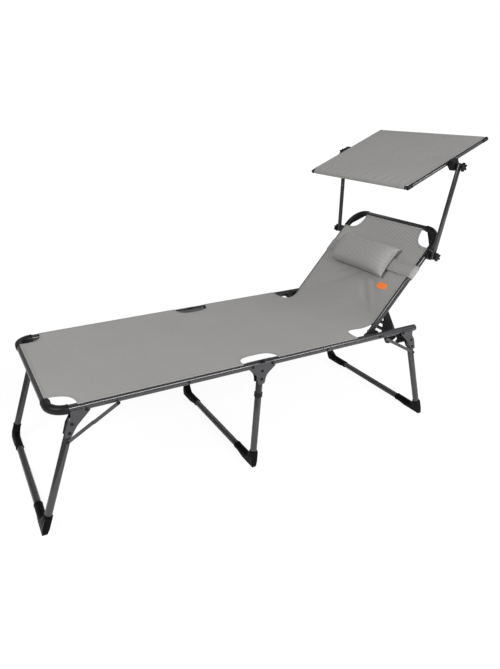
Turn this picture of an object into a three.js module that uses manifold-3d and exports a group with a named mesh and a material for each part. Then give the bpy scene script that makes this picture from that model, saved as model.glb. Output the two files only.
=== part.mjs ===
// A folding sun lounger with a reclining backrest, a head pillow and a tilting canopy.
// Millimetres, +Z up. +X runs from the foot end to the head end, -Y is the near side.
import * as THREE from 'three';
import { mergeVertices } from 'three/addons/utils/BufferGeometryUtils.js';
import Module from 'manifold-3d';

const wasm = await Module();
wasm.setup();

// Overall sizes of the bed
const bed = { length: 1638, railSpacing: 716, railHeight: 470, foldAt: 818 };
// Gaps between neighbours: seated pieces, pins in their holes, faces that slide past each other, and
// the same beside an arm that leans outwards. Cutting tools run past the piece by the overrun
const fit = { seat: 0.3, pin: 0.4, slide: 0.5, tilt: 2.4, overrun: 4 };
// Round tubes: radius, wall and bend radius
const railTube = { radius: 15, wall: 1.5, bendRadius: 60 };
const legTube = { radius: 14, wall: 1.5, bendRadius: 48, footHeight: 23, abovePivot: 18 };
const backTube = { radius: 12, wall: 1.3, bendRadius: 84 };
const armTube = { radius: 10, wall: 1.2, beyondPivot: 15 };
const canopyTube = { radius: 8, wall: 1.2 };
// Facets: sides of tubes, bores and pins, steps along bends and arcs, and columns across a cloth
const facets = {
  tubeSides: 12, smallTubeSides: 8, boreSides: 6, pinSides: 8, bendSteps: 4, arcSteps: 4, cornerSteps: 2, clothColumns: 8,
};
// Riveted pins: shank, head and shoulder
const rivet = { radius: 3.5, head: 6, headTop: 4.2, headHeight: 2 };

// Brackets of pressed plate. Plates stand on both sides of a tube
const plate = { thickness: 2, corner: 5 };
const foldBracket = { pivotFromFold: 45, wing: 13, above: 9, below: 83, waist: 15, waistDrop: 46, stemRivets: [25, 61] };
const gusset = { pivotDrop: 52, railRivetAlong: 55, railRivetDrop: 8, reach: 68, above: 50, below: 48, heel: 1, fillet: 12 };
const lowerRivetAt = 35;
const railEnd = { fromFold: 3, plug: 3 };
const railButton = { fromFold: 316, radius: 4.5, proud: 2.2 };

// Legs: how far each set leans, and where its centre line meets the rail
const legFromEnd = 41;
const frontLeg = { topX: 82, lean: THREE.MathUtils.degToRad(19.1), inward: 1 };
const rearLeg = { topX: bed.length - legFromEnd, lean: THREE.MathUtils.degToRad(15), inward: -1 };
const midLeg = { lean: THREE.MathUtils.degToRad(4.75), top: 18, collarDrop: 126, collarHeight: 18, collarWall: 2.6 };
// Shoes: a sleeve round the lower bend, and a fin under it that narrows to the toe
const shoe = { wall: 2.4, inward: 140, up: 72, halfDepth: 13, toeHalfDepth: 8, flat: 52, below: 6 };
// Two-link braces: where they are pinned, seen from the leg's pivot
const brace = { railAlong: 165, railDrop: 10, legDrop: 68, halfWidth: 7, thickness: 2.4, head: 5.5, headHeight: 1.6 };

// Backrest, hinged inside the rails
const back = { hingeFromEnd: 218, inset: 53.5, length: 560, angle: THREE.MathUtils.degToRad(47.9), below: 14 };
const hinge = { ear: 20, tail: 36, pin: 4, head: 7, headHeight: 2, foot: 12 };
// Prop that holds the backrest up, and the racks it rests in
const prop = {
  pivotAlong: 132, pivotOffset: 5, footFromEnd: 48, footZ: 415, inset: 2, thickness: 8, headRadius: 9.5,
  edge: 9, flare: 60, flareFrom: 24, flareTo: 105, footBeyond: 14, tubeRadius: 8, tubeWall: 1.2, upperTubeUp: 52,
  pinRadius: 3.5, cornerRadius: 12,
};
const rack = { thickness: 8.6, from: -37, to: 33, top: 34, bottom: 16, notchPitch: 23, notchRadius: 9, notches: 3 };

// Canopy on two arms, which lean outwards from the backrest's clamps to the wider canopy
const arms = { clampFromTop: 122, lowOutset: 41, highOutset: 46, angle: THREE.MathUtils.degToRad(84), length: 392 };
const clamp = { halfLength: 16, wall: 4.6, studDepth: 14, below: 13, fromDegrees: -100, toDegrees: 60 };
const canopy = {
  angle: THREE.MathUtils.degToRad(23), inset: 15, front: 241, rear: 218, pivotDrop: 18, sleeveEnd: 9, sag: 9,
};
const knob = {
  studRadius: 3, tip: 18.5, valley: 11, lobes: 6, lobeShare: 0.3, thickness: 11, hub: 9, hubHeight: 6, washer: 1.2, studShare: 0.6,
};

// Cloth: thickness, and the cut-outs that leave the corners and the fold open
const cloth = { thickness: 2, seatSag: 14, backSag: 15, roundingPower: 3 };
const footCutout = { along: 93, depth: 87 };
const foldCutout = { halfLength: 80, depth: 63 };
const hingeCutout = { along: 117, depth: 92, backDepth: 24, rise: 45 };
const pastBend = { along: 13, across: 10 };
const topCutout = { along: backTube.bendRadius + pastBend.along, depth: backTube.bendRadius + pastBend.across };
const clothEnd = { seatFromHinge: 18, backFromHinge: 8, foldGap: 0.5 };
// Pillow and its strap
const pillow = {
  fromTop: 228, across: 20, halfLength: 86, halfWidth: 202, height: 58, belly: 13, drawInShare: 0.07, rowSteps: 10,
  columnSteps: 16, crownPowers: [4, 6], bellyPower: 8,
};
const strap = { width: 63, thickness: 1.5 };
// Moulded corners over the tube bends
const corner = { wall: 2.4, onRail: 62, fromCloth: 2, web: 5 };

// Heights and half widths that follow from the sizes above
const railY = bed.railSpacing / 2;
const railZ = bed.railHeight;
const hingeX = bed.length - back.hingeFromEnd;
const propFootX = bed.length - prop.footFromEnd;
const backHalf = railY - back.inset;
const canopyHalf = railY - canopy.inset;
const clampAlong = back.length - arms.clampFromTop;
const armLowY = backHalf + arms.lowOutset;
const armHighY = canopyHalf + arms.highOutset;
const pillowAlong = back.length - pillow.fromTop;
const outerPlate = railTube.radius + fit.seat;
const backZ = backTube.radius + fit.seat;
const linkPlane = outerPlate + plate.thickness + fit.slide;
const NEAR = -1;
const FAR = 1;

// Materials, with the colours of the photographed finishes
function material(name, color, roughness, metalness) {
  return new THREE.MeshStandardMaterial({ name, color, roughness, metalness });
}
const steel = material('frame_paint', 0x55555a, 0.42, 0.35);
const black = material('black_moulding', 0x151416, 0.55, 0);
const mesh = material('grey_cloth', 0x8d8c88, 0.9, 0);

// Closed solids: joining and cutting
function solidOf(geometry) {
  const bare = geometry.index ? geometry.toNonIndexed() : geometry.clone();
  for (const name of Object.keys(bare.attributes)) if (name !== 'position') bare.deleteAttribute(name);
  const merged = mergeVertices(bare, 1e-4);
  return new wasm.Manifold(new wasm.Mesh({
    numProp: 3,
    vertProperties: new Float32Array(merged.attributes.position.array),
    triVerts: new Uint32Array(merged.index.array),
  }));
}
function geometryOf(solid) {
  const { vertProperties, triVerts, numProp } = solid.getMesh();
  const positions = new Float32Array(triVerts.length * 3);
  triVerts.forEach((vertex, corner3) => {
    for (let axis = 0; axis < 3; axis++) positions[corner3 * 3 + axis] = vertProperties[vertex * numProp + axis];
  });
  const geometry = new THREE.BufferGeometry();
  geometry.setAttribute('position', new THREE.BufferAttribute(positions, 3));
  geometry.computeVertexNormals();
  return geometry;
}
const join = (...pieces) => geometryOf(pieces.map(solidOf).reduce((whole, piece) => whole.add(piece)));
const common = (a, b) => geometryOf(solidOf(a).intersect(solidOf(b)));
const cut = (body, ...tools) => geometryOf(tools.map(solidOf).reduce((left, tool) => left.subtract(tool), solidOf(body)));

// A path through given points, so that an extrusion has one ring at each of them
class PathThrough extends THREE.Curve {
  constructor(points) {
    super();
    this.points = points;
  }
  getPoint(t, target = new THREE.Vector3()) {
    const last = this.points.length - 1;
    const at = Math.min(t * last, last - Number.EPSILON * last);
    const from = Math.min(Math.floor(at + 1e-9), last - 1);
    return target.lerpVectors(this.points[from], this.points[from + 1], at - from);
  }
  getPointAt(u, target) {
    return this.getPoint(u, target);
  }
  getTangentAt(u, target = new THREE.Vector3()) {
    const last = this.points.length - 1;
    const at = Math.round(u * last);
    const before = this.points[Math.max(at - 1, 0)];
    const here = this.points[at];
    const after = this.points[Math.min(at + 1, last)];
    const into = here.clone().sub(before).normalize();
    const out = after.clone().sub(here).normalize();
    return target.copy(into).add(out).normalize();
  }
}
// Corner points with their bends rounded to arcs of one radius
function rounded(corners, radius, steps = facets.bendSteps) {
  const points = [corners[0]];
  for (let at = 1; at < corners.length - 1; at++) {
    const here = corners[at];
    const back1 = corners[at - 1].clone().sub(here).normalize();
    const on = corners[at + 1].clone().sub(here).normalize();
    const half = back1.angleTo(on) / 2;
    const middle = back1.clone().add(on).normalize();
    const centre = here.clone().addScaledVector(middle, radius / Math.sin(half));
    const start = here.clone().addScaledVector(back1, radius / Math.tan(half)).sub(centre);
    const turn = Math.PI - 2 * half;
    const axis = new THREE.Vector3().crossVectors(back1, on).normalize().negate();
    for (let step = 0; step <= steps; step++) {
      points.push(centre.clone().add(start.clone().applyAxisAngle(axis, (turn * step) / steps)));
    }
  }
  points.push(corners[corners.length - 1]);
  return points;
}
function circle(radius, sides) {
  const arc = new THREE.Path();
  arc.absarc(0, 0, radius, 0, 2 * Math.PI);
  return arc.getPoints(sides / 2).slice(0, -1);
}
function sweep(points, radius, bore, sides = facets.tubeSides) {
  const outline = new THREE.Shape(circle(radius, sides));
  if (bore) outline.holes.push(new THREE.Path(circle(bore, facets.boreSides).reverse()));
  const extrudePath = new PathThrough(points);
  return new THREE.ExtrudeGeometry(outline, { steps: points.length - 1, extrudePath, bevelEnabled: false });
}
const at = (x, y, z) => new THREE.Vector3(x, y, z);
// A straight bar along Y between two places, in either order
function barY(radius, x, z, y0, y1, sides = facets.pinSides, endRadius = radius) {
  const bar = new THREE.CylinderGeometry(y1 > y0 ? endRadius : radius, y1 > y0 ? radius : endRadius, Math.abs(y1 - y0), sides);
  return bar.translate(x, (y0 + y1) / 2, z);
}
// A flat piece drawn in X and Z, between two places along Y
function plateXZ(outline, y0, y1, curveSegments = facets.arcSteps) {
  const depth = Math.abs(y1 - y0);
  const piece = new THREE.ExtrudeGeometry(outline, { depth, bevelEnabled: false, curveSegments });
  const turn = new THREE.Matrix4().makeBasis(at(1, 0, 0), at(0, 0, 1), at(0, -1, 0));
  return piece.applyMatrix4(turn).translate(0, Math.max(y0, y1), 0);
}
// A flat piece drawn in Y and Z, between two places along X
function plateYZ(outline, x0, x1, curveSegments = facets.arcSteps) {
  const piece = new THREE.ExtrudeGeometry(outline, { depth: x1 - x0, bevelEnabled: false, curveSegments });
  const turn = new THREE.Matrix4().makeBasis(at(0, 1, 0), at(0, 0, 1), at(1, 0, 0));
  return piece.applyMatrix4(turn).translate(x0, 0, 0);
}
// A straight-sided outline with every corner rounded by the same radius, or by one radius each
function roundedOutline(corners, radii) {
  const outline = new THREE.Shape();
  corners.forEach(([x, y], index) => {
    const radius = Array.isArray(radii) ? radii[index] : radii;
    const here = new THREE.Vector2(x, y);
    const before = new THREE.Vector2(...corners.at(index - 1)).sub(here).normalize();
    const after = new THREE.Vector2(...corners[(index + 1) % corners.length]).sub(here).normalize();
    const enter = here.clone().addScaledVector(before, radius);
    const leave = here.clone().addScaledVector(after, radius);
    if (index === 0) outline.moveTo(enter.x, enter.y);
    else outline.lineTo(enter.x, enter.y);
    outline.quadraticCurveTo(here.x, here.y, leave.x, leave.y);
  });
  outline.closePath();
  return outline;
}
// A bar with round ends between two points, with a hole at each point that asks for one
function linkOutline(from, to, radius, holes) {
  const angle = Math.atan2(to.y - from.y, to.x - from.x);
  const quarter = Math.PI / 2;
  const outline = new THREE.Shape();
  outline.absarc(from.x, from.y, radius, angle + quarter, angle + 3 * quarter);
  outline.absarc(to.x, to.y, radius, angle - quarter, angle + quarter);
  for (const [centre, bore] of holes) {
    const hole = new THREE.Path();
    hole.absarc(centre.x, centre.y, bore, 0, 2 * Math.PI, true);
    outline.holes.push(hole);
  }
  return outline;
}
function named(name, geometry, look) {
  const piece = new THREE.Mesh(geometry, look);
  piece.name = name;
  return piece;
}
const sideName = (side) => (side === NEAR ? 'near' : 'far');
const bothSides = [NEAR, FAR];

// Rivets and pins that run along Y. y values are measured outwards from the middle of the bed
function throughRivet(side, x, z, yIn, yOut) {
  return [
    barY(rivet.radius, x, z, side * yIn, side * yOut),
    barY(rivet.headTop, x, z, side * (yOut + rivet.headHeight), side * yOut, facets.pinSides, rivet.head),
    barY(rivet.head, x, z, side * yIn, side * (yIn - rivet.headHeight), facets.pinSides, rivet.headTop),
  ];
}
const drill = (side, x, z, yIn, yOut, radius = rivet.radius) =>
  barY(radius + fit.pin, x, z, side * (yIn - fit.overrun), side * (yOut + fit.overrun));
const plateInner = railY - outerPlate - plate.thickness;
const plateOuter = railY + outerPlate + plate.thickness;
const railDrill = (side, x, z, radius) => drill(side, x, z, railY - railTube.radius, railY + railTube.radius, radius);

// Rounded cut-out: how deep it is at a share of its length, from 0 in the middle to 1 at the end
function cutoutDepth(depth, share) {
  const power = cloth.roundingPower;
  return Math.abs(share) >= 1 ? 0 : depth * (1 - Math.abs(share) ** power) ** (1 / power);
}
// Cloth panel: half width and sag follow from functions, the panel is a closed sheet
function clothPanel(stations, halfWidth, height, columns) {
  const rows = stations.length;
  const top = [];
  const under = [];
  for (const x of stations) {
    for (let column = 0; column <= columns; column++) {
      const across = (2 * column) / columns - 1;
      const y = across * halfWidth(x);
      const z = height(x, y);
      top.push(at(x, y, z + cloth.thickness));
      under.push(at(x, y, z));
    }
  }
  const wide = columns + 1;
  const triangles = [];
  const quad = (a, b, c, d) => triangles.push(a, b, c, a, c, d);
  for (let row = 0; row < rows - 1; row++) {
    for (let column = 0; column < columns; column++) {
      const near = row * wide + column;
      quad(top[near], top[near + wide], top[near + wide + 1], top[near + 1]);
      quad(under[near], under[near + 1], under[near + wide + 1], under[near + wide]);
    }
    const left = row * wide;
    const right = left + columns;
    quad(under[left], under[left + wide], top[left + wide], top[left]);
    quad(under[right], top[right], top[right + wide], under[right + wide]);
  }
  const end = (rows - 1) * wide;
  for (let column = 0; column < columns; column++) {
    quad(under[column], top[column], top[column + 1], under[column + 1]);
    quad(under[end + column], under[end + column + 1], top[end + column + 1], top[end + column]);
  }
  return new THREE.BufferGeometry().setFromPoints(triangles);
}
function spread(from, to, count) {
  return Array.from({ length: count + 1 }, (_, index) => from + ((to - from) * index) / count);
}
// Stations along a cut-out, closer together where its edge turns
function cutoutStations(from, to, count) {
  return spread(0, Math.PI / 2, count).map((turn) => from + (to - from) * Math.sin(turn));
}

// Frame of the foot half: one tube bent twice, with its fold pivots and leg brackets drilled through
const frontPivot = new THREE.Vector2(frontLeg.topX - gusset.pivotDrop * Math.tan(frontLeg.lean), railZ - gusset.pivotDrop);
const rearPivot = new THREE.Vector2(rearLeg.topX + gusset.pivotDrop * Math.tan(rearLeg.lean), railZ - gusset.pivotDrop);
const bracePinOnRail = (pivot, set) =>
  new THREE.Vector2(pivot.x + set.inward * brace.railAlong, railZ - brace.railDrop);
const upperLinkY = linkPlane + brace.thickness + fit.pin;
// A pin that stands out of a tube, with a shoulder under the link and a head over it
function standingPin(side, x, z, root, linkAt) {
  return [
    barY(rivet.head, x, z, side * (railY + root), side * (railY + linkAt - fit.seat)),
    barY(rivet.radius, x, z, side * (railY + root), side * (railY + linkAt + brace.thickness + fit.seat)),
    barY(brace.head, x, z, side * (railY + linkAt + brace.thickness + fit.seat),
      side * (railY + linkAt + brace.thickness + fit.seat + brace.headHeight)),
  ];
}
function railFeatures(side, set, pivot) {
  const pin = bracePinOnRail(pivot, set);
  const root = Math.sqrt(railTube.radius ** 2 - brace.railDrop ** 2) - railTube.wall;
  return standingPin(side, pin.x, pin.y, root, upperLinkY);
}
function railButtonAt(side, x) {
  return barY(railButton.radius, x, railZ, side * (railY + railTube.radius - railTube.wall),
    side * (railY + railTube.radius + railButton.proud));
}
const railRivet = (pivot, set) =>
  new THREE.Vector2(pivot.x + set.inward * gusset.railRivetAlong, railZ - gusset.railRivetDrop);
// Rail plug: a short solid end in the tube's mouth
function plugX(x0, x1, side) {
  const plug = new THREE.CylinderGeometry(railTube.radius, railTube.radius, x1 - x0, facets.tubeSides);
  return plug.rotateZ(Math.PI / 2).translate((x0 + x1) / 2, side * railY, railZ);
}
function footFrame() {
  const end = bed.foldAt - railEnd.fromFold;
  const corners = [at(end, -railY, railZ), at(0, -railY, railZ), at(0, railY, railZ), at(end, railY, railZ)];
  const tube = sweep(rounded(corners, railTube.bendRadius), railTube.radius, railTube.radius - railTube.wall);
  const foldPivotX = bed.foldAt - foldBracket.pivotFromFold;
  const riveted = railRivet(frontPivot, frontLeg);
  const holes = bothSides.flatMap((side) => [
    railDrill(side, foldPivotX, railZ), railDrill(side, riveted.x, riveted.y),
  ]);
  const extras = bothSides.flatMap((side) => [
    ...railFeatures(side, frontLeg, frontPivot),
    railButtonAt(side, bed.foldAt - railButton.fromFold), plugX(end - railEnd.plug, end, side),
  ]);
  return cut(join(tube, ...extras), ...holes);
}
function headRail(side) {
  const start = bed.foldAt + railEnd.fromFold;
  const tube = sweep([at(start, side * railY, railZ), at(bed.length, side * railY, railZ)],
    railTube.radius, railTube.radius - railTube.wall);
  const riveted = railRivet(rearPivot, rearLeg);
  const pieces = [
    tube, ...railFeatures(side, rearLeg, rearPivot), railButtonAt(side, bed.foldAt + railButton.fromFold),
    plugX(start, start + railEnd.plug, side), plugX(bed.length - railEnd.plug, bed.length, side),
  ];
  return cut(join(...pieces), railDrill(side, bed.foldAt + foldBracket.pivotFromFold, railZ),
    railDrill(side, riveted.x, riveted.y));
}

// Moulded corner: a sleeve round the bend, with a web across its inside
function cornerPiece(tube, corner3, legA, legB) {
  const outer = tube.radius + corner.wall;
  const inner = tube.radius + fit.seat;
  const points = rounded([legA, corner3, legB], tube.bendRadius);
  const webOutline = new THREE.Shape();
  const shown = points.map((point) => [point.x, point.y]);
  webOutline.moveTo(...shown[0]);
  shown.slice(1).forEach((point) => webOutline.lineTo(...point));
  webOutline.closePath();
  const web = new THREE.ExtrudeGeometry(webOutline, { depth: corner.web, bevelEnabled: false });
  web.translate(0, 0, corner3.z - corner.web / 2);
  const along = legA.clone().sub(points[1]).normalize();
  const onwards = legB.clone().sub(points.at(-2)).normalize();
  const bore = [legA.clone().addScaledVector(along, fit.overrun), ...points.slice(1, -1),
    legB.clone().addScaledVector(onwards, fit.overrun)];
  return cut(join(sweep(points, outer, 0), web), sweep(bore, inner, 0));
}
function footCorner(side) {
  const turn = at(0, side * railY, railZ);
  return cornerPiece(railTube, turn, at(corner.onRail, side * railY, railZ), at(0, side * (railY - footCutout.depth + corner.fromCloth), railZ));
}
function backCorner(side) {
  const turn = at(back.length, side * backHalf, 0);
  return cornerPiece(backTube, turn, at(back.length - topCutout.along + corner.fromCloth, side * backHalf, 0),
    at(back.length, side * (backHalf - topCutout.depth + corner.fromCloth), 0));
}

// Fold bracket: two plates with the rail ends and the leg between them, held by four rivets
function foldBracketPiece(side) {
  const wingX = foldBracket.pivotFromFold + foldBracket.wing;
  const top = railZ + foldBracket.above;
  const wingBottom = railZ - foldBracket.wing;
  const stemX = (z) => bed.foldAt - (railZ - z) * Math.tan(midLeg.lean);
  const bottom = railZ - foldBracket.below;
  const waist = railZ - foldBracket.waistDrop;
  const corners = [
    [bed.foldAt - wingX, top], [bed.foldAt - wingX, wingBottom], [stemX(waist) - foldBracket.waist - plate.corner, waist],
    [stemX(bottom) - foldBracket.waist, bottom], [stemX(bottom) + foldBracket.waist, bottom],
    [stemX(waist) + foldBracket.waist + plate.corner, waist], [bed.foldAt + wingX, wingBottom], [bed.foldAt + wingX, top],
  ];
  const radii = corners.map((_, index) => (index === 2 || index === 5 ? foldBracket.waist : plate.corner));
  const outline = roundedOutline(corners, radii);
  const plates = [
    plateXZ(outline, side * (plateInner + plate.thickness), side * plateInner, facets.cornerSteps),
    plateXZ(outline, side * plateOuter, side * (plateOuter - plate.thickness), facets.cornerSteps),
  ];
  const places = [
    [bed.foldAt - foldBracket.pivotFromFold, railZ], [bed.foldAt + foldBracket.pivotFromFold, railZ],
    ...foldBracket.stemRivets.map((drop) => [stemX(railZ - drop), railZ - drop]),
  ];
  return join(...plates, ...places.flatMap(([x, z]) => throughRivet(side, x, z, plateInner, plateOuter)));
}
// Leg bracket: two plates, riveted through the rail and through the leg's pivot
function gussetPiece(side, set, pivot) {
  const place = (along, up) => [pivot.x + set.inward * along, pivot.y + up];
  const lean = Math.tan(set.lean);
  const legHalf = legTube.radius / Math.cos(set.lean);
  const corners = [
    place(-gusset.heel, gusset.above), place(gusset.reach, gusset.above),
    place(gusset.reach, gusset.above - plate.corner * 2), place(legHalf, -gusset.fillet),
    place(legHalf - gusset.below * lean - plate.corner, -gusset.below),
    place(-legHalf - gusset.below * lean, -gusset.below), place(-legHalf - plate.thickness, 0),
    place(-gusset.heel, gusset.above / 2),
  ];
  const radii = [plate.corner, plate.corner, plate.corner, gusset.fillet, plate.corner, plate.corner, plate.corner, plate.corner];
  const outline = roundedOutline(corners, radii);
  const riveted = railRivet(pivot, set);
  const lower = [pivot.x - set.inward * lowerRivetAt * Math.sin(set.lean), pivot.y - lowerRivetAt * Math.cos(set.lean)];
  return join(
    plateXZ(outline, side * (plateInner + plate.thickness), side * plateInner, facets.cornerSteps),
    plateXZ(outline, side * plateOuter, side * (plateOuter - plate.thickness), facets.cornerSteps),
    ...throughRivet(side, riveted.x, riveted.y, plateInner, plateOuter),
    ...throughRivet(side, pivot.x, pivot.y, plateInner, plateOuter),
    barY(rivet.headTop, ...lower, side * (plateOuter + rivet.headHeight), side * plateOuter, facets.pinSides, rivet.head),
  );
}

// A leg frame in its own upright plane: z = 0 is its pivot, and it runs down to the floor and back up
function legFrame(set, topAbove, length, pins, holes) {
  const foot = -length + legTube.footHeight / Math.cos(set.lean);
  const corners = [at(0, -railY, topAbove), at(0, -railY, foot), at(0, railY, foot), at(0, railY, topAbove)];
  const tube = sweep(rounded(corners, legTube.bendRadius), legTube.radius, legTube.radius - legTube.wall);
  const drills = bothSides.flatMap((side) => holes.map((z) =>
    drill(side, 0, z, railY - legTube.radius, railY + legTube.radius)));
  const joined = pins.length ? join(tube, ...pins) : tube;
  return cut(joined, ...drills);
}
function legLength(set, pivotHeight) {
  return pivotHeight / Math.cos(set.lean);
}
// Shoe: a sleeve round the lower bend with a tapered fin under it, cut level with the floor
function shoePiece(set, side, length) {
  const foot = -length + legTube.footHeight / Math.cos(set.lean);
  const outer = legTube.radius + shoe.wall;
  const floorZ = -length - shoe.below;
  const top = foot + shoe.up - legTube.footHeight;
  const inwardY = railY - shoe.inward;
  const line = (up, inward) => rounded([at(0, side * railY, up), at(0, side * railY, foot), at(0, side * inward, foot)],
    legTube.bendRadius);
  const finOutline = [
    [railY + outer, foot + legTube.bendRadius], [railY + outer, floorZ], [railY - shoe.flat, floorZ], [inwardY, foot - outer / 2],
    [inwardY, foot], [railY - legTube.bendRadius, foot], [railY, foot + legTube.bendRadius],
  ].map(([y, z]) => [side * y, z]);
  const fin = plateYZ(roundedOutline(finOutline, shoe.wall), -outer, outer, facets.cornerSteps);
  const taper = new THREE.Shape();
  taper.moveTo(-shoe.toeHalfDepth, floorZ);
  taper.lineTo(shoe.toeHalfDepth, floorZ);
  taper.lineTo(shoe.halfDepth, foot);
  taper.lineTo(shoe.halfDepth, top);
  taper.lineTo(-shoe.halfDepth, top);
  taper.lineTo(-shoe.halfDepth, foot);
  taper.closePath();
  const narrowed = common(fin, plateXZ(taper, side * (railY + 2 * outer), side * (inwardY - outer)));
  const sleeve = sweep(line(top, inwardY), outer, 0);
  const bore = sweep(line(top + fit.overrun, inwardY - fit.overrun), legTube.radius + fit.seat, 0);
  const floor = new THREE.BoxGeometry(bed.railSpacing, bed.railSpacing, bed.railSpacing / 2);
  floor.translate(0, side * railY, -bed.railSpacing / 4).rotateY(-set.inward * set.lean);
  floor.translate(0, 0, -length);
  return cut(join(sleeve, narrowed), bore, floor);
}
function leanGroup(set, x, z) {
  const group = new THREE.Group();
  group.position.set(x, 0, z);
  group.rotation.y = set.inward * set.lean;
  return group;
}
function foldingLeg(prefix, set, pivot) {
  const group = leanGroup(set, pivot.x, pivot.y);
  const length = legLength(set, pivot.y);
  const pins = bothSides.flatMap((side) => standingPin(side, 0, -brace.legDrop, legTube.radius - legTube.wall, linkPlane));
  group.add(named(`${prefix}_leg`, legFrame(set, legTube.abovePivot, length, pins, [0]), steel));
  for (const side of bothSides) {
    group.add(named(`${prefix}_shoe_${sideName(side)}`, shoePiece(set, side, length), black));
  }
  return group;
}
const middleSet = { lean: midLeg.lean, inward: 1 };
function middleLeg() {
  const topX = bed.foldAt - midLeg.top * Math.tan(midLeg.lean);
  const topZ = railZ - midLeg.top;
  const group = leanGroup(middleSet, topX, topZ);
  const length = legLength(middleSet, topZ);
  const holes = foldBracket.stemRivets.map((drop) => -(drop - midLeg.top) / Math.cos(midLeg.lean));
  group.add(named('mid_leg', legFrame(middleSet, 0, length, [], holes), steel));
  for (const side of bothSides) {
    const top = -(midLeg.collarDrop - midLeg.top);
    const collar = sweep([at(0, side * railY, top), at(0, side * railY, top - midLeg.collarHeight)],
      legTube.radius + fit.seat + midLeg.collarWall, 0);
    const inside = sweep([at(0, side * railY, 0), at(0, side * railY, 2 * top)], legTube.radius + fit.seat, 0);
    group.add(named(`mid_leg_collar_${sideName(side)}`, cut(collar, inside), black));
    group.add(named(`mid_shoe_${sideName(side)}`, shoePiece(middleSet, side, length), black));
  }
  return group;
}
// Braces: an upper link pinned on the rail and a lower link pinned on the leg, which meet at the knee
function bracePoints(set, pivot) {
  const onRail = bracePinOnRail(pivot, set);
  const onLeg = new THREE.Vector2(pivot.x - set.inward * brace.legDrop * Math.sin(set.lean),
    pivot.y - brace.legDrop * Math.cos(set.lean));
  return { onRail, onLeg, knee: onRail.clone().add(onLeg).multiplyScalar(1 / 2) };
}
function braceLinks(prefix, set, pivot) {
  const { onRail, onLeg, knee } = bracePoints(set, pivot);
  const hole = rivet.radius + fit.pin;
  return bothSides.flatMap((side) => {
    const outer = railY + upperLinkY + brace.thickness;
    const upper = join(
      plateXZ(linkOutline(onRail, knee, brace.halfWidth, [[onRail, hole]]), side * (railY + upperLinkY), side * outer),
      barY(brace.head, knee.x, knee.y, side * outer, side * (outer + brace.headHeight)),
    );
    const lower = plateXZ(linkOutline(knee, onLeg, brace.halfWidth, [[onLeg, hole]]),
      side * (railY + linkPlane), side * (railY + linkPlane + brace.thickness));
    return [
      named(`${prefix}_upper_link_${sideName(side)}`, upper, steel),
      named(`${prefix}_lower_link_${sideName(side)}`, lower, steel),
    ];
  });
}

// Seat cloth, in two lengths that meet over the fold
const clothZ = railZ + railTube.radius + fit.seat;
function seatHalfWidth(x) {
  const footShare = x / footCutout.along;
  const foldShare = (x - bed.foldAt) / foldCutout.halfLength;
  const hingeShare = (hingeX - x) / hingeCutout.along;
  const depth = cutoutDepth(footCutout.depth, footShare) + cutoutDepth(foldCutout.depth, foldShare)
    + cutoutDepth(hingeCutout.depth, hingeShare);
  return railY - depth;
}
function seatHeight(x, y) {
  const across = 1 - (y / railY) ** 2;
  const ends = Math.min(1, x / footCutout.along);
  return clothZ - cloth.seatSag * across * ends;
}
function seatClothFoot() {
  const end = bed.foldAt - clothEnd.foldGap;
  const foldStart = bed.foldAt - foldCutout.halfLength;
  const stations = [
    ...cutoutStations(0, footCutout.along, facets.arcSteps), ...spread(footCutout.along, foldStart, facets.arcSteps).slice(1),
    ...cutoutStations(foldStart - (end - foldStart), end, 2 * facets.arcSteps).filter((x) => x > foldStart).map((x) =>
      foldStart + end - x).reverse(), end,
  ];
  return clothPanel(stations, seatHalfWidth, seatHeight, facets.clothColumns);
}
function seatClothHead() {
  const start = bed.foldAt + clothEnd.foldGap;
  const foldEnd = bed.foldAt + foldCutout.halfLength;
  const end = hingeX - clothEnd.seatFromHinge;
  const cutStart = hingeX - hingeCutout.along;
  const stations = [
    ...cutoutStations(start, foldEnd, facets.arcSteps), ...spread(foldEnd, cutStart, facets.arcSteps - 1).slice(1),
    ...cutoutStations(end, cutStart, facets.arcSteps).reverse().slice(1),
  ];
  return clothPanel(stations, seatHalfWidth, seatHeight, facets.clothColumns);
}

// Backrest, drawn flat along +X from its hinge and then turned up
function backFrame() {
  const start = -back.below;
  const corners = [at(start, -backHalf, 0), at(back.length, -backHalf, 0), at(back.length, backHalf, 0),
    at(start, backHalf, 0)];
  const tube = sweep(rounded(corners, backTube.bendRadius), backTube.radius, backTube.radius - backTube.wall);
  const tools = bothSides.flatMap((side) => [
    drill(side, 0, 0, backHalf - backTube.radius, backHalf + backTube.radius, hinge.pin),
    barY(prop.pinRadius + fit.pin, prop.pivotAlong, -prop.pivotOffset, side * (backHalf - backTube.radius - fit.overrun),
      side * backHalf),
  ]);
  return cut(tube, ...tools);
}
function backHalfWidth(s) {
  const top = cutoutDepth(topCutout.depth, (back.length - s) / topCutout.along);
  const low = cutoutDepth(hingeCutout.backDepth, s / hingeCutout.rise);
  return backHalf - top - low;
}
function backHeight(s, y) {
  const across = 1 - (y / backHalf) ** 2;
  const along = Math.min(1, (back.length - s) / topCutout.along);
  return backZ - cloth.backSag * across * along;
}
function backCloth() {
  const low = hingeCutout.rise;
  const high = back.length - topCutout.along;
  const stations = [
    ...cutoutStations(clothEnd.backFromHinge, low, facets.arcSteps), ...spread(low, high, facets.arcSteps).slice(1),
    ...cutoutStations(back.length, high, facets.arcSteps).reverse().slice(1),
  ];
  return clothPanel(stations, backHalfWidth, backHeight, facets.clothColumns);
}
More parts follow.
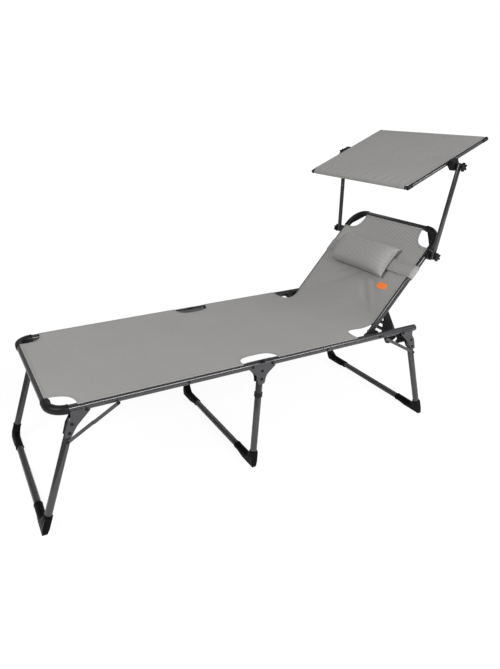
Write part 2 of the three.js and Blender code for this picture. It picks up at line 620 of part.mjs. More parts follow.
// Clamp: a moulding that wraps the outside of a side tube. Its stud passes through the arm into a knob
function clampPiece(side, tubeY, tubeRadius, studZ, armY) {
  const faceY = armY - armTube.radius - fit.tilt;
  const inner = tubeRadius + fit.seat;
  const outer = tubeRadius + clamp.wall;
  const low = THREE.MathUtils.degToRad(clamp.fromDegrees);
  const high = THREE.MathUtils.degToRad(clamp.toDegrees);
  const outline = new THREE.Shape();
  const on = (radius, angle) => [tubeY + radius * Math.cos(angle), radius * Math.sin(angle)];
  const bottom = Math.min(studZ - clamp.below, -outer);
  outline.moveTo(...on(outer, low));
  outline.lineTo(tubeY + clamp.wall, bottom);
  outline.lineTo(faceY, bottom);
  outline.lineTo(faceY, outer * Math.sin(high));
  outline.lineTo(...on(outer, high));
  outline.absarc(tubeY, 0, inner, high, low, true);
  const mirrored = new THREE.Shape(outline.getPoints(facets.arcSteps).map((point) => new THREE.Vector2(side * point.x, point.y)));
  const block = plateYZ(mirrored, -clamp.halfLength, clamp.halfLength);
  const studEnd = armY + armTube.radius + knob.washer + knob.hubHeight + knob.thickness * knob.studShare - fit.slide;
  return join(block, barY(knob.studRadius, 0, studZ, side * (faceY - clamp.studDepth), side * studEnd));
}
// Hinge bracket on the inside of the rail, with the pin that the backrest turns on
function hingeBracket(side) {
  const yIn = backHalf + backTube.radius + fit.slide;
  const yOut = railY - railTube.radius - fit.seat;
  const outline = linkOutline(new THREE.Vector2(hingeX - hinge.tail, railZ - hinge.foot / 2),
    new THREE.Vector2(hingeX, railZ), hinge.foot, []);
  const ear = new THREE.Shape();
  ear.absarc(hingeX, railZ, hinge.ear, 0, 2 * Math.PI);
  const tubeIn = backHalf - backTube.radius - fit.slide;
  return join(
    plateXZ(outline, side * yIn, side * yOut), plateXZ(ear, side * yIn, side * yOut),
    barY(hinge.pin, hingeX, railZ, side * (tubeIn - hinge.headHeight), side * yOut),
    barY(hinge.head, hingeX, railZ, side * (tubeIn - hinge.headHeight), side * tubeIn),
  );
}

// Prop: two moulded side arms and two cross tubes. It hangs from the backrest and stands in the racks
const propPivot = new THREE.Vector2(
  hingeX + prop.pivotAlong * Math.cos(back.angle) + prop.pivotOffset * Math.sin(back.angle),
  railZ + prop.pivotAlong * Math.sin(back.angle) - prop.pivotOffset * Math.cos(back.angle),
);
const propFoot = new THREE.Vector2(propFootX, prop.footZ);
const propLength = propPivot.distanceTo(propFoot);
const propArmOuter = backHalf - backTube.radius - prop.inset;
const propArmInner = propArmOuter - prop.thickness;
function propArm(side) {
  const end = propLength + prop.footBeyond;
  const outline = new THREE.Shape();
  outline.absarc(0, 0, prop.headRadius, Math.PI / 2, Math.PI * 1.5);
  const corners = [
    [prop.flareFrom, -prop.headRadius], [prop.flareTo, -prop.flare], [end - prop.cornerRadius, -prop.flare],
    [end, -prop.flare + prop.cornerRadius], [end, prop.edge],
  ];
  corners.forEach((point) => outline.lineTo(...point));
  const arm = join(
    plateXZ(outline, side * propArmInner, side * propArmOuter),
    barY(prop.pinRadius, 0, 0, side * propArmInner, side * (backHalf - fit.pin)),
  );
  const bores = [propLength, propLength - prop.upperTubeUp].map((x) =>
    sweep([at(x, -backHalf, 0), at(x, backHalf, 0)], prop.tubeRadius + fit.seat, 0, facets.smallTubeSides));
  return cut(arm, ...bores);
}
function propTube(along, halfLength) {
  return sweep([at(along, -halfLength, 0), at(along, halfLength, 0)], prop.tubeRadius, prop.tubeRadius - prop.tubeWall,
    facets.smallTubeSides);
}
function propGroup() {
  const group = new THREE.Group();
  group.position.set(propPivot.x, 0, propPivot.y);
  group.rotation.y = Math.atan2(propPivot.y - propFoot.y, propFoot.x - propPivot.x);
  for (const side of bothSides) group.add(named(`prop_arm_${sideName(side)}`, propArm(side), black));
  const rackInner = plateInner - fit.seat - rack.thickness;
  group.add(named('prop_lower_tube', propTube(propLength, rackInner - fit.slide), steel));
  group.add(named('prop_upper_tube', propTube(propLength - prop.upperTubeUp, propArmOuter), steel));
  return group;
}
// Rack: a moulding on the leg bracket, notched for the foot of the prop
function rackPiece(side) {
  const outer = plateInner - fit.seat;
  const top = prop.footZ + rack.top;
  const rowStart = propFootX - rack.notchPitch * (rack.notches - 2);
  const outline = new THREE.Shape();
  outline.moveTo(propFootX + rack.from, prop.footZ - rack.bottom);
  outline.lineTo(propFootX + rack.to, prop.footZ - rack.bottom);
  outline.lineTo(propFootX + rack.to, prop.footZ);
  for (let notch = rack.notches - 1; notch >= 0; notch--) {
    const x = rowStart + notch * rack.notchPitch;
    outline.absarc(x, prop.footZ, rack.notchRadius, 0, Math.PI, true);
  }
  outline.lineTo(propFootX + rack.from, prop.footZ);
  outline.closePath();
  const strip = new THREE.Shape();
  strip.moveTo(propFootX + rack.from, prop.footZ - rack.bottom);
  strip.lineTo(propFootX + rack.to, prop.footZ - rack.bottom);
  strip.lineTo(propFootX + rack.to, top);
  strip.lineTo(propFootX + rack.from, top);
  strip.closePath();
  const whole = join(plateXZ(outline, side * (outer - rack.thickness), side * outer),
    plateXZ(strip, side * (outer - plate.thickness), side * outer));
  return cut(whole, drill(side, rearPivot.x, rearPivot.y, outer - rack.thickness, outer, rivet.head));
}

// Star knob, screwed on a clamp's stud beside the arm
function knobPiece(side, armY) {
  const outline = new THREE.Shape();
  const turn = Math.PI / knob.lobes;
  for (let point = 0; point < 2 * knob.lobes; point++) {
    const wide = turn * knob.lobeShare;
    const radius = point % 2 ? knob.valley : knob.tip;
    for (const edge of point % 2 ? [0] : [-wide, wide]) {
      const angle = point * turn + edge;
      const place = [radius * Math.cos(angle), radius * Math.sin(angle)];
      if (point === 0 && edge < 0) outline.moveTo(...place);
      else outline.lineTo(...place);
    }
  }
  outline.closePath();
  const start = armY + armTube.radius + knob.washer;
  const hubEnd = start + knob.hubHeight;
  const whole = join(
    barY(knob.hub, 0, 0, side * start, side * (hubEnd + knob.washer), facets.smallTubeSides),
    plateXZ(outline, side * hubEnd, side * (hubEnd + knob.thickness)),
  );
  return cut(whole, barY(knob.studRadius + fit.pin, 0, 0, side * (start - fit.overrun), side * (hubEnd + knob.thickness * knob.studShare)));
}
function canopyArm(side) {
  const beyondShare = armTube.beyondPivot / arms.length;
  const [low, high] = [at(0, side * armLowY, 0), at(arms.length, side * armHighY, 0)];
  const tube = sweep([low.clone().lerp(high, -beyondShare), low.clone().lerp(high, 1 + beyondShare)],
    armTube.radius, armTube.radius - armTube.wall, facets.smallTubeSides);
  const holes = [[0, armLowY], [arms.length, armHighY]].map(([x, y]) =>
    drill(side, x, 0, y - armTube.radius, y + armTube.radius, knob.studRadius));
  return cut(tube, ...holes);
}
// Canopy frame: side tubes and bars with one open bore through them all
function canopyFrame() {
  const run = (radius, from, to) => sweep([from, to], radius, 0, facets.smallTubeSides);
  const z = canopy.pivotDrop;
  const tubes = (radius, beyond) => [
    ...bothSides.map((side) => run(radius, at(-canopy.front - canopyTube.radius - beyond, side * canopyHalf, z),
      at(canopy.rear + canopyTube.radius + beyond, side * canopyHalf, z))),
    ...[-canopy.front, canopy.rear].map((x) => run(radius, at(x, -canopyHalf, z), at(x, canopyHalf, z))),
  ];
  return cut(join(...tubes(canopyTube.radius, 0)), ...tubes(canopyTube.radius - canopyTube.wall, fit.overrun));
}
function canopyCloth() {
  const crest = canopy.pivotDrop + canopyTube.radius + fit.pin;
  const stations = spread(-canopy.front, canopy.rear, facets.tubeSides);
  const middle = (canopy.rear - canopy.front) / 2;
  const half = (canopy.rear + canopy.front) / 2;
  const height = (x, y) => crest - canopy.sag * (1 - ((x - middle) / half) ** 2) * (1 - (y / canopyHalf) ** 2);
  const sheet = clothPanel(stations, () => canopyHalf, height, facets.clothColumns);
  const sleeves = [-canopy.front, canopy.rear].map((x) => {
    const halfLength = canopyHalf - canopyTube.radius - canopy.sleeveEnd;
    return (radius, beyond) => sweep([at(x, -halfLength - beyond, canopy.pivotDrop), at(x, halfLength + beyond, canopy.pivotDrop)],
      radius, 0, facets.smallTubeSides);
  });
  const outer = sleeves.map((sleeve) => sleeve(canopyTube.radius + fit.pin + cloth.thickness, 0));
  const inner = sleeves.map((sleeve) => sleeve(canopyTube.radius + fit.pin, fit.overrun));
  return cut(join(sheet, ...outer), ...inner);
}

// Pillow: a crowned closed form whose sides draw in between its corners
const strapLoop = (beyond) => backZ + cloth.thickness + fit.seat + beyond;
function pillowPiece() {
  const rows = pillow.rowSteps;
  const columns = pillow.columnSteps;
  const [alongPower, acrossPower] = pillow.crownPowers;
  const base = strapLoop(strap.thickness) + fit.seat + pillow.belly;
  const drawIn = pillow.drawInShare;
  const point = (row, column, up) => {
    const u = Math.sin((Math.PI / 2) * ((2 * row) / rows - 1));
    const v = Math.sin((Math.PI / 2) * ((2 * column) / columns - 1));
    const x = pillow.halfLength * u * (1 - drawIn * (1 - v ** 2));
    const y = pillow.halfWidth * v * (1 - (drawIn / 2) * (1 - u ** 2));
    const full = Math.sqrt((1 - u ** alongPower) * (1 - v ** acrossPower));
    const low = Math.sqrt((1 - u ** pillow.bellyPower) * (1 - v ** pillow.bellyPower));
    const z = up ? pillow.height * full : -pillow.belly * low;
    return at(pillowAlong + x, pillow.across + y, base + z);
  };
  const triangles = [];
  for (let row = 0; row < rows; row++) {
    for (let column = 0; column < columns; column++) {
      for (const up of [true, false]) {
        const [a, b, c, d] = [[0, 0], [1, 0], [1, 1], [0, 1]].map(([r, k]) => point(row + r, column + k, up));
        triangles.push(...(up ? [a, b, c, a, c, d] : [a, c, b, a, d, c]));
      }
    }
  }
  return geometryOf(solidOf(new THREE.BufferGeometry().setFromPoints(triangles)));
}
// Strap: a flat band round the backrest's side tubes, in front of the cloth and behind it
function strapPiece() {
  const loop = (beyond) => {
    const halfHigh = strapLoop(beyond);
    const halfWide = backHalf;
    const outline = new THREE.Path();
    outline.absarc(halfWide, 0, halfHigh, -Math.PI / 2, Math.PI / 2);
    outline.absarc(-halfWide, 0, halfHigh, Math.PI / 2, 1.5 * Math.PI);
    return outline;
  };
  const outline = new THREE.Shape(loop(strap.thickness).getPoints(facets.arcSteps));
  outline.holes.push(new THREE.Path(loop(0).getPoints(facets.arcSteps).reverse()));
  return plateYZ(outline, pillowAlong - strap.width / 2, pillowAlong + strap.width / 2);
}

// The whole lounger
function lounger() {
  const whole = new THREE.Group();
  const footHalf = new THREE.Group();
  footHalf.add(named('foot_frame', footFrame(), steel));
  footHalf.add(named('seat_cloth_foot', seatClothFoot(), mesh));
  const headHalf = new THREE.Group();
  headHalf.add(named('seat_cloth_head', seatClothHead(), mesh));
  for (const side of bothSides) {
    const name = sideName(side);
    footHalf.add(named(`foot_corner_${name}`, footCorner(side), black));
    footHalf.add(named(`front_gusset_${name}`, gussetPiece(side, frontLeg, frontPivot), steel));
    headHalf.add(named(`head_rail_${name}`, headRail(side), steel));
    headHalf.add(named(`hinge_bracket_${name}`, hingeBracket(side), black));
    headHalf.add(named(`rear_gusset_${name}`, gussetPiece(side, rearLeg, rearPivot), steel));
    headHalf.add(named(`rack_${name}`, rackPiece(side), black));
    whole.add(named(`mid_bracket_${name}`, foldBracketPiece(side), steel));
  }
  whole.add(footHalf, headHalf, middleLeg());
  whole.add(foldingLeg('front', frontLeg, frontPivot), foldingLeg('rear', rearLeg, rearPivot));
  whole.add(...braceLinks('front', frontLeg, frontPivot), ...braceLinks('rear', rearLeg, rearPivot));
  whole.add(backrest(), propGroup());
  return whole;
}
function backrest() {
  const group = new THREE.Group();
  group.position.set(hingeX, 0, railZ);
  group.rotation.y = -back.angle;
  group.add(named('backrest_frame', backFrame(), steel), named('backrest_cloth', backCloth(), mesh));
  group.add(named('pillow', pillowPiece(), mesh), named('pillow_strap', strapPiece(), mesh));
  const shade = new THREE.Group();
  shade.position.set(clampAlong, 0, 0);
  shade.rotation.y = back.angle - arms.angle;
  const top = new THREE.Group();
  top.position.set(arms.length, 0, 0);
  top.rotation.y = arms.angle - canopy.angle;
  top.add(named('canopy_frame', canopyFrame(), steel), named('canopy_cloth', canopyCloth(), mesh));
  for (const side of bothSides) {
    const name = sideName(side);
    group.add(named(`backrest_corner_${name}`, backCorner(side), black));
    const lower = named(`lower_clamp_${name}`, clampPiece(side, backHalf, backTube.radius, 0, armLowY), black);
    lower.position.x = clampAlong;
    group.add(lower);
    shade.add(named(`canopy_arm_${name}`, canopyArm(side), steel));
    shade.add(named(`lower_knob_${name}`, knobPiece(side, armLowY), black));
    const upperKnob = named(`upper_knob_${name}`, knobPiece(side, armHighY), black);
    upperKnob.position.x = arms.length;
    shade.add(upperKnob);
    const upper = named(`upper_clamp_${name}`,
      clampPiece(side, canopyHalf, canopyTube.radius, -canopy.pivotDrop, armHighY), black);
    upper.position.z = canopy.pivotDrop;
    top.add(upper);
  }
  shade.add(top);
  group.add(shade);
  return group;
}

// The origin is on the floor, in the middle of the whole lounger
const model = new THREE.Group();
const built = lounger();
model.add(built);
model.updateMatrixWorld(true);
const extent = new THREE.Box3().setFromObject(built, true);
built.position.x = -(extent.min.x + extent.max.x) / 2;

export default model;
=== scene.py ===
"""A folding sun lounger with a tilting canopy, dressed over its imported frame.

Tubes, mouldings, stretched cloth, pillow and stage are each made by one operator.
Lengths are in metres. +X runs from the foot end to the head end, -Y is the near side.
"""
import math

import bmesh
import bpy
import numpy as np
from bpy.props import FloatProperty, FloatVectorProperty, PointerProperty
from bpy.types import Operator, Panel, PropertyGroup
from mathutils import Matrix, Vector


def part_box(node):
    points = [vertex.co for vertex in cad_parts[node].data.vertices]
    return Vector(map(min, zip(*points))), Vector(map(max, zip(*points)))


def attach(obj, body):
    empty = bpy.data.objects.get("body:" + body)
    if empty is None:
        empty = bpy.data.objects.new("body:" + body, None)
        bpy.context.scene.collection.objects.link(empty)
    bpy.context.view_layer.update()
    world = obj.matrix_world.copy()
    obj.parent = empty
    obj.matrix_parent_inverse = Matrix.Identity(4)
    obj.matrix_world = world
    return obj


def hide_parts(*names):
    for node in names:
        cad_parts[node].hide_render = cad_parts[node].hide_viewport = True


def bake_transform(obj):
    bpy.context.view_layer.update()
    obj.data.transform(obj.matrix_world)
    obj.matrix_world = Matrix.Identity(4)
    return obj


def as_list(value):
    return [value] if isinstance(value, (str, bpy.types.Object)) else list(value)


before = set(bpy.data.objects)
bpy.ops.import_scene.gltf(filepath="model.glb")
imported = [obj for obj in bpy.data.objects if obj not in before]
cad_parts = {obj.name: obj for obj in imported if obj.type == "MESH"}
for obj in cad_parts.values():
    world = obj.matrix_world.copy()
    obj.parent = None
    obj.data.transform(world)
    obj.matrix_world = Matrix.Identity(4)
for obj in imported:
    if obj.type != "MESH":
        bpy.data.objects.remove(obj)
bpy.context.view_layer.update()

bl_info = {
    "name": "Sun lounger",
    "version": (1, 0, 0),
    "blender": (4, 5, 0),
    "location": "View3D > Sidebar > Lounger",
    "description": "Makes the tubes, mouldings, cloth and pillow of a folding sun lounger",
    "category": "Add Mesh",
}

FOOT_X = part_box("foot_frame")[0].x + 0.015  # centre of the foot bar
SIDES = (("near", -1.0), ("far", 1.0))
ACROSS = np.array([0, 1.0, 0])
CLOTH_LIFT = 0.0011  # middle of a stretched cloth over the skin of its tube
FOLD_GAP = 0.003  # from the fold to the end of a rail
PIVOT_DROP = 0.052  # from the rails' centres down to the pivots of the folding legs
MID_TOP_DROP = 0.018  # from the rails' centres down to the top of the middle leg
MID_LEAN = 4.75
BACK_HEM = 0.013  # from the top bar's centre down to the end of its cut-outs
MIDDLE_CLOTH_END = 1.200  # from the foot bar to the line where the backrest's cloth starts
PILLOW_UP = 0.332  # from the hinge to the middle of the pillow
SLEEVE_WALL = 0.0026  # thickness of the moulded sleeves on the legs

# Name, where it meets the rails' height (None: at the fold), lean in degrees, the way that its top leans
# from its foot, how far below the rails' centres it starts, and body.
LEGS = (
    ("front", 0.082, 19.1, 1, PIVOT_DROP, "front_leg"),
    ("mid", None, MID_LEAN, 1, MID_TOP_DROP, "mid_frame"),
    ("rear", 1.597, 15.0, -1, PIVOT_DROP, "rear_leg"),
)


def length(name, description, default):
    """A size in metres that the user can change."""
    return FloatProperty(name=name, description=description, default=default, unit="LENGTH", min=0.0, precision=4)


def angle(name, description, degrees):
    """An angle that the user can change."""
    return FloatProperty(name=name, description=description, default=math.radians(degrees), subtype="ANGLE")


def colour(name, description, default):
    """A finish colour that the user can change."""
    return FloatVectorProperty(name=name, description=description, default=default, subtype="COLOR", size=3,
                               min=0.0, max=1.0)


class LoungerSizes(PropertyGroup):
    """Sizes of the lounger's pieces."""
    rail_radius: length("Rail radius", "Radius of the seat's rails", 0.015)
    rail_y: length("Rail half spacing", "From the middle of the bed to a rail's centre", 0.358)
    rail_z: length("Rail height", "Height of the rails' centres", 0.470)
    rail_end: length("Rail end", "From the foot bar to the head end of the rails", 1.638)
    rail_bend: length("Foot bend", "Bend radius of the foot frame", 0.060)
    fold_x: length("Fold", "From the foot bar to the fold in the middle", 0.818)
    leg_radius: length("Leg radius", "Radius of the leg tubes", 0.014)
    leg_bend: length("Leg bend", "Bend radius of the legs", 0.048)
    leg_foot: length("Leg foot", "Height of a leg's cross tube over the floor", 0.023)
    back_radius: length("Backrest radius", "Radius of the backrest tube", 0.012)
    back_bend: length("Backrest bend", "Bend radius of the backrest tube", 0.084)
    back_y: length("Backrest half width", "From the middle to the backrest tube's centre", 0.3045)
    back_length: length("Backrest length", "From the hinge to the top bar's centre", 0.560)
    hinge_x: length("Hinge", "From the foot bar to the backrest hinge", 1.420)
    back_angle: angle("Backrest angle", "Angle of the backrest over the seat", 47.9)
    arm_radius: length("Arm radius", "Radius of the canopy arms", 0.010)
    arm_low: length("Lower arm half spacing", "From the middle to an arm at its lower clamp", 0.3455)
    arm_high: length("Upper arm half spacing", "From the middle to an arm at its upper clamp", 0.389)
    arm_from: length("Lower clamp", "From the hinge to the lower clamps", 0.438)
    arm_length: length("Arm length", "Between the clamps of an arm", 0.392)
    arm_angle: angle("Arm angle", "Angle of the arms over the level", 84.0)
    canopy_radius: length("Canopy tube radius", "Radius of the canopy frame's tubes", 0.008)
    canopy_y: length("Canopy half width", "From the middle to the canopy's side tube", 0.343)
    canopy_front: length("Canopy front", "From the upper clamps to the front bar", 0.241)
    canopy_rear: length("Canopy rear", "From the upper clamps to the rear bar", 0.218)
    canopy_drop: length("Canopy height", "Height of the canopy frame over its clamps' pivots", 0.018)
    canopy_angle: angle("Canopy angle", "Tilt of the canopy", 23)
    cloth: length("Cloth thickness", "Thickness of the stretched cloth", 0.0014)
    seat_sag: length("Seat sag", "How far the seat cloth hangs in its middle", 0.014)
    back_sag: length("Backrest sag", "How far the backrest cloth hangs in its middle", 0.015)
    thread: length("Thread pitch", "Distance between threads of the cloth", 0.0024)
    hem: length("Hem width", "Width of the sewn hems", 0.010)
    pillow_length: length("Pillow half width", "Half the pillow's size across the bed", 0.202)
    wrap: length("Cloth wrap", "How far the cloth reaches past the crest of the rails", 0.007)
    pillow_depth: length("Pillow half depth", "Half the pillow's size up the backrest", 0.086)
    strap_width: length("Strap width", "Width of the pillow's strap", 0.063)


class LoungerColours(PropertyGroup):
    """Colours of the lounger's finishes."""
    paint: colour("Frame paint", "Anthracite paint of the tubes", (0.0165, 0.0152, 0.0190))
    moulding: colour("Black moulding", "Corner sleeves, shoes, clamps and knobs", (0.0075, 0.0070, 0.0076))
    rivet: colour("Rivets", "Blackened rivet heads", (0.012, 0.012, 0.013))
    cloth: colour("Cloth", "Grey of the woven cloth", (0.297, 0.2925, 0.284))
    pillow: colour("Pillow cloth", "Grey of the pillow's mesh cloth", (0.335, 0.331, 0.322))
    tag: colour("Tag", "Orange of the sewn tag", (1.0, 0.235, 0.018))
    floor: colour("Floor", "Pale floor and backdrop", (1.0, 1.0, 1.0))


def sizes():
    """The scene's sizes."""
    return bpy.context.scene.lounger_sizes


def colours():
    """The scene's colours."""
    return bpy.context.scene.lounger_colours


# Curves and surfaces

def unit(v):
    """Rows of v, each divided by its length."""
    v = np.asarray(v, float)
    return v / np.linalg.norm(v, axis=-1, keepdims=True)


def run_along(points):
    """Distance of each point from the first, along the line through them."""
    return np.concatenate([[0], np.cumsum(np.linalg.norm(np.diff(points, axis=0), axis=1))])


def path(corners, bend, steps=12):
    """Centre line through corner points, each bend an arc: centre + bend * (sin t * b - cos t * a), with a
    from the bend inwards, b along the incoming run, and t from 0 to the turn. Without a bend it is straight.
    Returns the points and the unit tangents."""
    corners = np.asarray(corners, float)
    if not bend:
        return corners, np.repeat(unit(corners[-1:] - corners[:1]), len(corners), 0)
    points, tangents = [corners[:1]], [unit(corners[1:2] - corners[:1])]
    for before, here, after in zip(corners[:-2], corners[1:-1], corners[2:]):
        into, out = unit(here - before), unit(after - here)
        turn = math.acos(float(np.clip(into @ out, -1, 1)))
        start = here - into * bend * math.tan(turn / 2)
        inward = unit(out - into * (into @ out))
        t = np.linspace(0, turn, steps + 1)[:, None]
        points.append(start + inward * bend + bend * (np.sin(t) * into - np.cos(t) * inward))
        tangents.append(np.cos(t) * into + np.sin(t) * inward)
    points.append(corners[-1:])
    tangents.append(unit(corners[-1:] - corners[-2:-1]))
    return np.concatenate(points), np.concatenate(tangents)


def rings(points, tangents, radius, normal, sides):
    """Circles square to a path: point + radius * (cos v * normal + sin v * (tangent x normal)).
    radius is one number, or one for each point."""
    normal = unit(normal)
    across = unit(np.cross(tangents, normal))
    v = np.linspace(0, 2 * np.pi, sides, endpoint=False)[None, :, None]
    r = np.broadcast_to(np.asarray(radius, float), (len(points),))[:, None, None]
    return points[:, None] + r * (np.cos(v) * normal + np.sin(v) * across[:, None])


def domed(points, tangents, radius, start, end, steps=6):
    """Adds a rounded cap of that depth at either end of a path: the radius falls as cos t and the
    centre moves on as depth * sin t, for t from 0 to a right angle. Returns points, tangents, radii."""
    t = np.linspace(0, np.pi / 2, steps + 1)[1:, None]
    first = points[0] - tangents[0] * start * np.sin(t)
    last = points[-1] + tangents[-1] * end * np.sin(t)
    rim = radius * np.maximum(np.cos(t[:, 0]), 0.02)
    return (np.concatenate([first[::-1], points, last]),
            np.concatenate([np.repeat(tangents[:1], steps, 0), tangents, np.repeat(tangents[-1:], steps, 0)]),
            np.concatenate([rim[::-1], np.full(len(points), float(radius)), rim]))


def link_mesh(name, mesh, material, sharp=None):
    """A smooth object for the mesh, in the scene. Edges that turn by more than sharp degrees stay crisp."""
    mesh.shade_smooth()
    mesh.materials.append(material)
    if sharp:
        mesh.set_sharp_from_angle(angle=math.radians(sharp))
    made = bpy.data.objects.new(name, mesh)
    bpy.context.scene.collection.objects.link(made)
    return made


def grid_corners(rows, columns):
    """Rows and columns of the four corners of each cell of a grid."""
    i, j = (a.ravel() for a in np.meshgrid(np.arange(rows), np.arange(columns), indexing="ij"))
    return np.stack([i, i + 1, i + 1, i], 1), np.stack([j, j, j + 1, j + 1], 1)


def surface(name, grid, material, wrap=False, caps=False, uv=None, edge=None, sharp=None):
    """A mesh over a grid of points. wrap joins the last column to the first, and caps closes the first and
    last rows. A closed mesh is turned outwards by the sign of its volume. uv gives the places of the rows and
    the columns on the UV map, and edge says how far each point lies from a hem's outer edge."""
    rows, columns = grid.shape[:2]
    corners_i, corners_j = grid_corners(rows - 1, columns if wrap else columns - 1)
    faces = corners_i * columns + corners_j % columns
    vertices = grid.reshape(-1, 3)
    ends = []
    if wrap and caps:
        first = np.arange(columns)
        last = first[::-1] + (rows - 1) * columns
        a, b, c, d = (vertices[faces[:, k]] for k in range(4))
        volume = np.sum(a * np.cross(b, c)) + np.sum(a * np.cross(c, d))
        for ring in (vertices[first], vertices[last]):
            volume += np.sum(ring.mean(0) * np.cross(ring, np.roll(ring, -1, 0)))
        turn = -1 if volume < 0 else 1
        faces, corners_i, corners_j = faces[:, ::turn], corners_i[:, ::turn], corners_j[:, ::turn]
        ends = [first[::turn].tolist(), last[::turn].tolist()]
    mesh = bpy.data.meshes.new(name)
    mesh.from_pydata(vertices.tolist(), [], faces.tolist() + ends)
    if uv is not None:
        values = np.zeros((len(mesh.loops), 2))
        values[: faces.size] = np.stack([uv[0][corners_i], uv[1][corners_j]], -1).reshape(-1, 2)
        mesh.uv_layers.new(name="UVMap").data.foreach_set("uv", values.ravel())
    if edge is not None:
        mark_edge(mesh, edge.ravel())
    mesh.update()
    return link_mesh(name, mesh, material, sharp)


def mark_edge(mesh, distance):
    """Writes each point's distance from the outer edge of a hem."""
    mesh.attributes.new("edge", "FLOAT", "POINT").data.foreach_set("value", distance.astype(np.float32))


def lay_flat(mesh, places):
    """Gives each point its own place on the UV map."""
    layer = mesh.uv_layers.get("UVMap") or mesh.uv_layers.new(name="UVMap")
    index = np.zeros(len(mesh.loops), int)
    mesh.loops.foreach_get("vertex_index", index)
    layer.data.foreach_set("uv", places.reshape(-1, 2)[index].ravel())


def read_points(mesh):
    """A mesh's points as rows."""
    points = np.zeros(len(mesh.vertices) * 3)
    mesh.vertices.foreach_get("co", points)
    return points.reshape(-1, 3)


def finish_piece(piece, body, slot, stands_for=None):
    """The piece rides on a body, and may replace a solid. slot is not used."""
    if stands_for:
        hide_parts(stands_for)
    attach(piece, body)


def slot_of(look):
    """The record's slot for a finish."""
    return "frame_paint" if look in (paint, blackened) else "black_moulding"


def closed(name, grid, look, body, stands_for=None, sharp=40, uv=None):
    """A closed piece over a grid that wraps round, with its finish."""
    made = surface(name, grid, look(), wrap=True, caps=True, uv=uv, sharp=sharp)
    finish_piece(made, body, slot_of(look), stands_for)


def tube(name, corners, radius, normal, look, body, stands_for=None, bend=None, plugs=(0.002, 0.002), sides=28):
    """A round tube along a path, with shallow plugs of those depths in its ends."""
    points, tangents, radii = domed(*path(corners, bend), radius, *plugs)
    uv = run_along(points), np.linspace(0, 2 * np.pi * radius, sides + 1)
    closed(name, rings(points, tangents, radii, normal, sides), look, body, stands_for, 50, uv)


def cuff(name, corners, bend, radius, normal, body, look, stands_for=None):
    """A moulded sleeve round a tube. Its radius steps up at the rim by either end, and down to the tube at
    the very ends."""
    raised, lowered, edge, step = 0.0009, 0.0016, 0.0006, 0.0007
    points, tangents = path(corners, bend, 18)
    points, tangents = (points, tangents) if bend else (points[[0, -1]], tangents[[0, -1]])
    run = run_along(points)
    total = run[-1]
    rim = min(0.005, total * 0.22)
    steps = np.array([edge, rim, rim + step])
    stations = np.unique(np.concatenate([run, steps, total - steps]))
    points, tangents = (np.stack([np.interp(stations, run, rows[:, k]) for k in range(3)], 1)
                        for rows in (points, tangents))
    near_end = np.minimum(stations, total - stations)
    radii = radius + raised * (near_end < rim + edge / 2) - lowered * (near_end < edge / 2)
    closed(name, rings(points, unit(tangents), radii, normal, 32), look, body, stands_for)


def rivets(name, places, body):
    """Domed rivet heads. Each is a disc of rings radius * cos t, height * sin t over its foot, for t
    from 0 to a right angle. places are (x, y, z, side), side being the way along Y that the dome faces."""
    places = np.asarray(places, float)
    radius, height, rows, sides = 0.0062, 0.0028, 7, 16
    t = np.linspace(0, np.pi / 2, rows - 1)
    v = np.linspace(0, 2 * np.pi, sides, endpoint=False)
    rim = np.concatenate([[radius], radius * np.maximum(np.cos(t), 0.03)])[:, None]
    up = np.concatenate([[-0.0006], height * np.sin(t)])[:, None]
    ring = np.stack([rim * np.cos(v), np.broadcast_to(up, (rows, sides)), rim * np.sin(v)], -1)
    points = np.repeat(ring.reshape(1, -1, 3), len(places), 0)
    points[..., 1] *= places[:, 3][:, None]
    points += places[:, None, :3]
    i, j = grid_corners(rows - 1, sides)
    quads, foot = i * sides + j % sides, np.arange(sides)
    faces = []
    for start in range(0, len(places) * rows * sides, rows * sides):
        faces += (quads + start).tolist() + [(foot[::-1] + start).tolist(),
                                             (foot + (rows - 1) * sides + start).tolist()]
    mesh = bpy.data.meshes.new(name)
    mesh.from_pydata(points.reshape(-1, 3).tolist(), [], faces)
    turn_out(mesh)
    finish_piece(link_mesh(name, mesh, blackened(), 60), body, slot_of(blackened))


def merge(mesh, near, step):
    """Merges points that are that near each other, and then takes one more step on the mesh."""
    work = bmesh.new()
    work.from_mesh(mesh)
    bmesh.ops.remove_doubles(work, verts=work.verts, dist=near)
    step(work)
    work.to_mesh(mesh)
    work.free()


def turn_out(mesh):
    """Merges doubles and turns all faces outwards."""
    merge(mesh, 1e-6, lambda work: bmesh.ops.recalc_face_normals(work, faces=work.faces))


def eased(node, name, width, look, body, sharp=35):
    """A moulded or pressed piece: a merged copy of its solid with flat faces joined, and with the edges that
    turn by more than sharp degrees rounded."""
    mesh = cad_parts[node].data.copy()
    mesh.name = name
    merge(mesh, 2e-5, lambda work: bmesh.ops.dissolve_limit(
        work, angle_limit=math.radians(1.0), verts=work.verts, edges=work.edges))
    mesh.materials.clear()
    made = link_mesh(name, mesh, look())
    bevel = made.modifiers.new("rounded edges", "BEVEL")
    bevel.width, bevel.segments, bevel.limit_method, bevel.angle_limit = width, 2, "ANGLE", math.radians(sharp)
    bevel.use_clamp_overlap = True
    made.modifiers.new("even shading", "WEIGHTED_NORMAL").keep_sharp = True
    finish_piece(made, body, slot_of(look), node)


# Finishes

